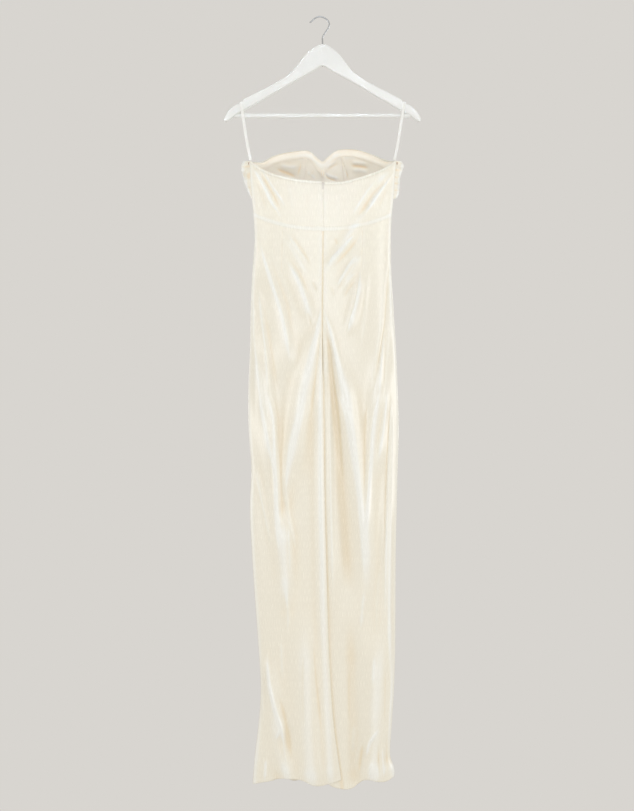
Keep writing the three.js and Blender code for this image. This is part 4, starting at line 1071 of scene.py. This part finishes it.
def inset(cup_v):
    """How far the lining lies in from the cup: less at both edges, where it is sewn in."""
    return mix(EDGE_INSET, LINING_INSET, smooth(0, 0.12, cup_v) * (1 - smooth(0.9, 1, cup_v)))


def flat_crease(x, z):
    """Creases of the lining that run more across than down, as bells round their lines over x."""
    total = np.zeros(np.broadcast(x, z).shape)
    for height, width, places in LINING_CREASES:
        line = table(["x", "z"], places)
        low, high = line["x"].min(), line["x"].max()
        run = 0.3 * (high - low)
        along = smooth(low, low + run, x) * smooth(high, high - run, x)
        total += height * along * np.exp(-((z - curve(line, "x", "z")(x)) / width) ** 2)
    return total


def inside(name, column_at, from_v, to_v, columns, rows, thickness, extra, tone):
    """A piece of the cup's inside: the cup's own smooth surface, moved in along its normal."""
    def surface(u, v):
        row = mix(from_v, to_v, v)
        s = column_at(u, row)
        cup_v = lining_v(s, row)
        points = cup_surface(s, cup_v, False)
        relief = flat_crease(points[..., 0], points[..., 2])
        shift = inset(cup_v) + extra + relief * smooth(0.02, 0.2, cup_v) * (1 - smooth(0.8, 0.9, cup_v))
        into = facing(points) * stack(smooth(0, STRAIGHT_IN, np.abs(s)), 1, 1)
        return points - into * shift[..., None]
    # painted light: the tone paints the seen inner side lighter
    return wall(name, surface, columns, rows, thickness, satin_lining, cells=4, shaded=even_painted_tone(tone))


def line_cup(side, low_s, top_s):
    """Two panels on either side of a seam from low_s to top_s, the facing over both, and the casing
    over their seam."""
    is_left = side == "left"

    def seam_s(v):
        return mix(low_s, top_s, v)

    def side_column(u, v):
        return mix(seam_s(v) - 0.001, -LINING_SIDE, u) if is_left else mix(LINING_SIDE, seam_s(v) + 0.001, u)

    def middle_column(u, v):
        return mix(-CENTRE_GAP, seam_s(v) + 0.001, u) if is_left else mix(seam_s(v) - 0.001, CENTRE_GAP, u)

    def facing_column(u, v):
        a, b, c = (-CENTRE_GAP, seam_s(v), -LINING_SIDE) if is_left else (LINING_SIDE, seam_s(v), CENTRE_GAP)
        return np.where(u < 0.5, mix(a, b, 2 * u), mix(b, c, 2 * u - 1))

    def channel_column(u, v):
        return mix(seam_s(v) + CHANNEL_HALF_WIDTH, seam_s(v) - CHANNEL_HALF_WIDTH, u)

    on_lining = CLOTH + INSIDE_GAP
    on_casing = on_lining + (CHANNEL_CLOTH - CLOTH) / 2
    for node, name, *cut in (
        ("cup_lining_side", "cup_lining_side_panel", side_column, 0, 1, 48, 56, CLOTH, 0, PANEL_PAINTED_LIGHT),
        ("cup_lining_middle", "cup_lining_middle_panel", middle_column, 0, 1, 30, 56, CLOTH, 0, PANEL_PAINTED_LIGHT),
        ("neck_facing", "neckline_facing", facing_column, FACING_ROW, 1, 90, 8, CLOTH, on_lining, FACING_PAINTED_LIGHT),
        ("boning_channel", "boning_casing", channel_column, 0.02, FACING_ROW - 0.005, 8, 48, CHANNEL_CLOTH,
         on_casing, CASING_PAINTED_LIGHT),
    ):
        pieces[f"{node}_{side}"] = inside(f"{name}_{side}", *cut)


for side, (low_s, top_s) in PANEL_SEAMS.items():
    line_cup(side, low_s, top_s)

# Centre-front tack: a small gathered knot
TACK_HALF = np.array([5.5, 2.4, 8.5])
TACK_PLEATS, PLEAT_DEPTH, PLEAT_TWIST = 7, 0.10, 1.2
TACK_V = 0.7
TACK_IN = LINING_INSET + CLOTH + INSIDE_GAP + CLOTH / 2 + SEAM_GAP + TACK_HALF[1]
tack_at = cup_surface(np.array(CENTRE_GAP), np.array(TACK_V), False) - np.array([0, TACK_IN, 0])


def knot(name, centre, half, material):
    """A gathered knot: an egg with soft pleats that run from pole to pole and turn a little."""
    rings, sides = 22, 42
    polar = np.linspace(0, np.pi, rings + 2)[1:-1]
    p, a = np.meshgrid(polar, np.linspace(0, 2 * np.pi, sides, endpoint=False), indexing="ij")
    pleat = 1 + PLEAT_DEPTH * np.cos(TACK_PLEATS * a + PLEAT_TWIST * np.cos(p)) * np.sin(p)
    shape = stack(np.sin(p) * np.cos(a) * pleat, np.sin(p) * np.sin(a) * pleat, np.cos(p)) * half
    points = np.concatenate([shape.reshape(-1, 3), [[0, 0, half[2]]], [[0, 0, -half[2]]]]) + centre
    top, low = rings * sides, rings * sides + 1
    faces = ring_quads(rings, sides)[:, ::-1].tolist() + cap(0, sides, top).tolist() \
        + cap((rings - 1) * sides, sides, low)[:, ::-1].tolist()
    # painted light and shade: the pleats' crests get a low hollow value and are painted lighter, their grooves a high
    # one and are painted warmer
    hollow = np.concatenate([0.5 - 3 * (pleat.ravel() - 1), [0.5, 0.5]])
    return make_mesh(name, points, faces, material, uv=points[:, [0, 2]], hollow=hollow)


pieces["centre_front_tack"] = knot("gathered_centre_tack", tack_at, TACK_HALF, satin_lining)

# Hanging loops: narrow ribbon from each side seam over the hanger's arm and back
# A strand's places from its foot up: x, z and the distance from the middle plane
LOOP_STRAND = [
    (160.4, -316.5, 0.95), (161.4, -310, 1.2), (164.2, -298, 2.1), (166.9, -284, 3.6), (170.6, -262, 5.6),
    (174.6, -236, 7.6), (176.9, -221, 8.15), (179.4, -204, 8.15), (180.5, -198, 8.15),
]
RIBBON_WIDTH, RIBBON_CLOTH, ARM_SLOPE, ARM_TOP_Z, LOOP_TOP_X = 5.6, 1.0, 0.7, -188.9, 182.3
HANGER_THICKNESS, HANGER_ROUNDING = 14, 3.2
LOOP_CLEAR = 1.15              # from the arm's paint to the ribbon's middle
LOOP_STEPS = 180
RIBBON_CUP = 0.25              # how far the ribbon is hollow across its width


def loop(sign):
    """The ribbon's middle line goes up one strand, over the arm's rounded top and down the other, and
    its width lies level, tilted with the arm where it crosses it."""
    near = [(sign * x, -y, z) for x, z, y in LOOP_STRAND]
    radius = HANGER_ROUNDING + LOOP_CLEAR
    for angle in np.linspace(0, np.pi / 2, 5):
        near.append((sign * LOOP_TOP_X, -(HANGER_THICKNESS / 2 - HANGER_ROUNDING) - radius * math.cos(angle),
                     ARM_TOP_Z - HANGER_ROUNDING + radius * math.sin(angle)))
    path = spline(near + [(x, -y, z) for x, y, z in reversed(near)], LOOP_STEPS + 1)

    def surface(u, v):
        points = path[np.rint(v * LOOP_STEPS).astype(int)]
        tilt = -sign * ARM_SLOPE * smooth(-208, -195, points[..., 2])
        along = (u - 0.5) * RIBBON_WIDTH / np.hypot(1, tilt)
        cup_in = RIBBON_CUP * (1 - (2 * u - 1) ** 2) * smooth(0, 5, np.abs(points[..., 1]))
        return points + stack(along, np.sign(points[..., 1]) * cup_in, along * tilt)
    return surface


for side, sign in (("left", -1), ("right", 1)):
    pieces[f"hanging_loop_{side}"] = wall(f"ribbon_loop_{side}", loop(sign), 6, LOOP_STEPS, RIBBON_CLOTH, ribbon)

# Hanger: shaped wood with rounded edges, round bar and bent wire hook
# The right arm's upper and lower edge from the middle out: x and z
HANGER_UPPER = [
    (0, -59), (8, -60.4), (15.6, -64), (23.5, -69.3), (31.2, -75.7), (40, -84.7), (46.8, -93.6), (53.5, -102.5),
    (60.2, -111.4), (67.9, -120.3), (79, -129), (92.5, -138), (108, -147), (124.8, -156), (143.7, -165),
    (160.4, -173.8), (174.9, -181.6), (179.3, -187.4), (183, -191), (192.7, -193.8), (201.6, -200.5),
    (210.5, -209.4), (217.2, -220.6), (219.4, -226),
]
HANGER_LOWER = [
    (0, -107), (6, -109), (14, -114), (74, -148), (149.3, -191.6), (181.6, -210.5), (190.5, -215), (201.6, -222.8),
    (210.5, -230), (217, -230.8),
]
ARM_TIP = (219.2, -227.6)
ARM_STATIONS, CORNER_POINTS = 170, 8


def hanger_shape(name, material):
    """Rounded sections from tip to tip: each spans the arm's upper and lower edge at the same share of
    both, and its corners are quarter circles that shrink where the arm gets thin."""
    upper, lower = (spline([(x, 0, z) for x, z in edge + [ARM_TIP]], ARM_STATIONS)[:-1]
                    for edge in (HANGER_UPPER, HANGER_LOWER))
    upper, lower = (np.concatenate([(edge * (-1, 1, 1))[:0:-1], edge]) for edge in (upper, lower))
    half = np.linalg.norm(upper - lower, axis=1)[:, None] / 2
    up, middle = unit(upper - lower), (upper + lower) / 2
    n = CORNER_POINTS
    quarter = [np.linspace(90 * k, 90 * k + 90, n) for k in range(4)]
    angle = np.radians(np.concatenate([quarter[0], [90, 90], quarter[1], quarter[2], [270, 270], quarter[3]]))
    above = np.repeat([1, -1, 1], [n + 1, 2 * n + 2, n + 1])
    beside = np.repeat([1, -1], 2 * n + 2)
    on_flat = np.isin(np.arange(len(angle)), [n, n + 1, 3 * n + 2, 3 * n + 3])
    radius = np.minimum(HANGER_ROUNDING, 0.96 * half)
    reach = half - radius
    along_up = above * (reach - on_flat * np.minimum(0.8, reach / 2)) + radius * np.cos(angle)
    along_y = beside * (HANGER_THICKNESS / 2 - HANGER_ROUNDING) + radius * np.sin(angle)
    rings = middle[:, None] + up[:, None] * along_up[..., None] + np.array([0, 1, 0]) * along_y[..., None]
    return ringed(name, rings, rings[0].mean(axis=0), rings[-1].mean(axis=0), material)


pieces["hanger_body"] = hanger_shape("shaped_wood_hanger", paint)
BAR_Z, BAR_RADIUS = -217.7, 4.8
bar_x = np.concatenate([[-196, -195.9, -195.5], np.linspace(-195, 195, 60), [195.5, 195.9, 196]])
bar_end = ((np.abs(bar_x) - 194.6) / 1.5).clip(0)
pieces["hanger_bar"] = tube("round_trouser_bar", stack(bar_x, 0, BAR_Z), BAR_RADIUS * (1 - bar_end**2 / 2), paint, 28)
# The middle of the hook's wire, from inside the wood up and round: x and z
HOOK = [
    (0, -108.5), (0, -88), (0, -68), (0, -54), (0, -45), (2.5, -38), (8.6, -29), (13.3, -21.5), (15.1, -15),
    (14, -9.8), (11, -4.8), (6.2, -1), (0.3, 1.8), (-5.6, 2.9), (-11.6, 1.9), (-16.8, -0.8), (-21.4, -4.6),
    (-25.2, -8.2), (-29, -10.6),
]
HOOK_STEPS, HOOK_RADIUS = 140, 1.7
ROUND_STEPS = 3                # the wire's ends are rounded over this many steps
from_end = np.minimum(np.arange(HOOK_STEPS), np.arange(HOOK_STEPS)[::-1])
rounding = ((ROUND_STEPS - from_end) / (ROUND_STEPS + 0.2)).clip(0)
hook_radius = HOOK_RADIUS * np.sqrt(np.clip(1 - rounding**2, 0.02, 1))
pieces["hanger_hook"] = tube("bent_wire_hook", spline([(x, 0, z) for x, z in HOOK], HOOK_STEPS), hook_radius,
                             hook_chrome, 20)

# Stitches: rows of thread in the cloth's own colour
STITCH_LENGTH, STITCH_PITCH, STITCH_RADIUS, STITCH_SIDES = 2.3, 3.2, 0.24, 6
STITCH_SHARES = np.array([0, 0.18, 0.5, 0.82, 1])
STITCH_SWELL = np.array([0.35, 0.85, 1, 0.85, 0.35])
# painted highlight: a hollow value a little under the middle gives the stitches a touch of the lighter ridge colour
STITCH_TONE = 0.45
ROW_APART = 0.004              # to the rows beside a stitched one, which give the slope there,
COLUMN_APART = 0.01            # and to the columns


def stitches(name, line, out, material, thread=STITCH_RADIUS):
    """A row of lockstitches on a piece: line(t) gives three neighbouring rows of places on its
    surface, the middle one is sewn, and each stitch is a six-sided bar, thickest in its middle, that
    lies out millimetres off that row along the normal."""
    grid = line(np.linspace(0.012, 0.988, 900))
    normal = facing(grid)[1]
    path = grid[1] + normal * out
    run = np.concatenate([[0], np.cumsum(np.linalg.norm(np.diff(path, axis=0), axis=1))])
    starts = np.arange(0.5, run[-1] - STITCH_LENGTH, STITCH_PITCH)
    at = starts[:, None] + STITCH_LENGTH * STITCH_SHARES
    places = np.stack([np.interp(at, run, path[:, c]) for c in range(3)], -1)
    up = unit(np.stack([np.interp(at, run, normal[:, c]) for c in range(3)], -1))
    side = unit(np.cross(np.gradient(places, axis=1), up))
    angle = np.linspace(0, 2 * np.pi, STITCH_SIDES, endpoint=False)[:, None]
    radius = (thread * STITCH_SWELL)[None, :, None, None]
    ring = places[:, :, None] + radius * (np.cos(angle) * side[:, :, None] + np.sin(angle) * up[:, :, None])
    rings, sides = len(STITCH_SHARES), STITCH_SIDES
    first = np.arange(len(starts))[:, None, None] * rings * sides
    caps = np.stack([np.arange(sides)[::-1], np.arange(sides) + (rings - 1) * sides])
    faces = (ring_quads(rings, sides) + first).reshape(-1, 4).tolist() + (caps + first).reshape(-1, sides).tolist()
    points = ring.reshape(-1, 3)
    outwards(make_mesh(name, points, faces, material, uv=points[:, [0, 2]],
                       hollow=np.full(len(points), STITCH_TONE)))


def sewn_along(name, v, first=0.0, last=1.0):
    """The rows at, above and below height share v of a piece's surface, from width share first to
    last, for stitches that run across it."""
    return lambda t: surface_of[name](*np.meshgrid(mix(first, last, t), [v - ROW_APART, v, v + ROW_APART]))


def sewn_up(name, u):
    """The same for stitches that run up the piece at width share u."""
    return lambda t: surface_of[name](*np.meshgrid([u + COLUMN_APART, u, u - COLUMN_APART], t, indexing="ij"))


for side in SIDES:
    stitches(f"binding_stitches_{side}", sewn_along(f"bound_edge_{side}", 0.2), BINDING_LIFT + CLOTH / 2,
             satin_outside)
    stitches(f"facing_stitches_{side}", sewn_along(f"neckline_facing_{side}", 0.1), -CLOTH / 2, satin_lining)
    for edge, u in (("outer", 0.1), ("inner", 0.9)):
        stitches(f"casing_stitches_{edge}_{side}", sewn_up(f"boning_casing_{side}", u), -CHANNEL_CLOTH / 2,
                 satin_lining)
    stitches(f"hem_stitches_{side}", sewn_along(f"satin_back_skirt_{side}", 0.009), CLOTH / 2, satin_outside)
for part in ("back_left", "back_right", "front"):
    for edge, v in (("lower", 0.13), ("upper", 0.87)):
        stitches(f"waistband_stitches_{part}_{edge}", sewn_along(f"turned_waistband_{part}", v), BAND_CLOTH / 2,
                 satin_outside)
stitches("hem_stitches_front", sewn_along("satin_front_skirt", 0.009), CLOTH / 2, satin_outside)

# Bar tacks in tan thread, on the cups just outside the side seams, where each ribbon's foot is caught
TACK_ROWS = np.linspace(0.915, 0.965, 6)
TACK_COLUMNS = {"left": (0.992, 0.9985), "right": (0.0015, 0.008)}
TACK_THREAD = 0.42
TACK_OUT = 1.8                 # the cup's mesh cuts the corner at the side seam by about a millimetre
for side in SIDES:
    for number, v in enumerate(TACK_ROWS):
        stitches(f"bar_tack_{side}_{number}", sewn_along(f"gathered_cup_{side}", v, *TACK_COLUMNS[side]), TACK_OUT,
                 tan_thread, TACK_THREAD)

# Hide the solids that the pieces stand for, and give the zip's slider and pull the zip metal
for node, piece in pieces.items():
    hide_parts(node)
for node in ("zip_slider", "zip_pull"):
    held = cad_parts[node]
    held.data.materials.clear()
    held.data.materials.append(zip_metal)

# The back skirts' flat widths in metres, which nothing uses
for side, skirt_width in (("left", 0.185), ("right", 0.2)):
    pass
for side in SIDES:
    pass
for side in SIDES:
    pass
for side in SIDES:
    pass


# Floor, light and camera
def floor_disc(radius, z):
    """Matt painted floor with a faint speckle."""
    angle = np.linspace(0, 2 * np.pi, 96, endpoint=False)
    mesh = bpy.data.meshes.new("studio_floor")
    mesh.from_pydata(stack(radius * np.cos(angle), radius * np.sin(angle), z).tolist(), [], [list(range(96))])
    m = new_material("matt_floor_paint")
    speckle = noise(m, place(m), 60, 2)
    mesh.materials.append(finish_material(m, {
        "Base Color": blend(m, speckle, linear("#d6d3ce"), linear("#dad7d2")), "Roughness": 0.85}))
    floor = bpy.data.objects.new("studio_floor", mesh)
    bpy.context.collection.objects.link(floor)


def soft_light(name, at, aim, width, height, power, colour, in_gloss=True, spread=180):
    """A rectangular lamp that looks from its place to its aim; out of gloss it isn't mirrored in the satin."""
    data = bpy.data.lights.new(name, "AREA")
    data.shape, data.size, data.size_y = "RECTANGLE", width, height
    data.energy, data.color, data.spread = power, linear(colour)[:3], math.radians(spread)
    light = bpy.data.objects.new(name, data)
    bpy.context.collection.objects.link(light)
    light.location = at
    direction = unit(np.array(aim, float) - np.array(at, float))
    yaw = math.atan2(direction[1], direction[0]) - math.pi / 2
    pitch = math.asin(direction[2])
    light.rotation_euler = (math.pi / 2 + pitch, 0, yaw)
    light.visible_glossy = in_gloss


FLOOR_RADIUS, FLOOR_Z = 1.4, -2.2
floor_disc(FLOOR_RADIUS, FLOOR_Z)
soft_light("left_softbox", (-2.0, -2.7, -0.5), (0, 0, -0.9), 0.5, 1.8, 7, "#f2f7ff")
soft_light("right_softbox", (2.0, -2.7, -0.5), (0, 0, -0.9), 0.5, 1.8, 8, "#f2f7ff")
soft_light("left_strip", (-3.0, -0.7, -0.6), (0, 0, -0.9), 0.5, 2.2, 9, "#f8faff")
soft_light("right_strip", (3.0, -0.7, -0.6), (0, 0, -0.9), 0.5, 2.2, 13, "#f8faff")
soft_light("high_softbox", (0, -2.8, 1.5), (0, 0, -0.5), 1.5, 0.8, 5.6, "#d6e8ff")
soft_light("camera_softbox", (0, -3.35, -0.4), (0, 0, -0.6), 1.0, 1.3, 7.2, "#e8f1ff")
soft_light("neckline_softbox", (0, -3.0, 0.7), (0, 0, -0.28), 0.4, 0.2, 0.105, "#dceaff", in_gloss=False, spread=13)
soft_light("low_fill", (0, -3.0, -2.0), (0, 0, -0.5), 1.6, 0.6, 8, "#fff3e2", in_gloss=False)
soft_light("front_fill_left", (-1.9, 2.6, -0.3), (0, 0, -0.8), 0.7, 1.9, 11, "#f8faff")
soft_light("front_fill_right", (1.9, 2.6, -0.3), (0, 0, -0.8), 0.7, 1.9, 11, "#f8faff")

scene = bpy.context.scene
world = bpy.data.worlds.new("pale_studio")
world.use_nodes = True
background = next(n for n in world.node_tree.nodes if n.type == "BACKGROUND")
background.inputs["Color"].default_value = linear("#d8d5d0")
background.inputs["Strength"].default_value = 1.0
scene.world = world
scene.view_settings.view_transform = "Standard"

camera_data = bpy.data.cameras.new("camera")
camera_data.sensor_fit = "VERTICAL"
camera_data.sensor_height = 36
CAMERA_AWAY, VIEW_HEIGHT = 3.2, 1.8068
CAMERA_X, CAMERA_Z = -0.01225, -0.8633
camera_data.lens = CAMERA_AWAY * 36 / VIEW_HEIGHT
camera_data.clip_end = 50
camera = bpy.data.objects.new("camera", camera_data)
bpy.context.collection.objects.link(camera)
camera.location = (CAMERA_X, -CAMERA_AWAY, CAMERA_Z)
camera.rotation_euler = (math.pi / 2, 0, 0)
scene.camera = camera
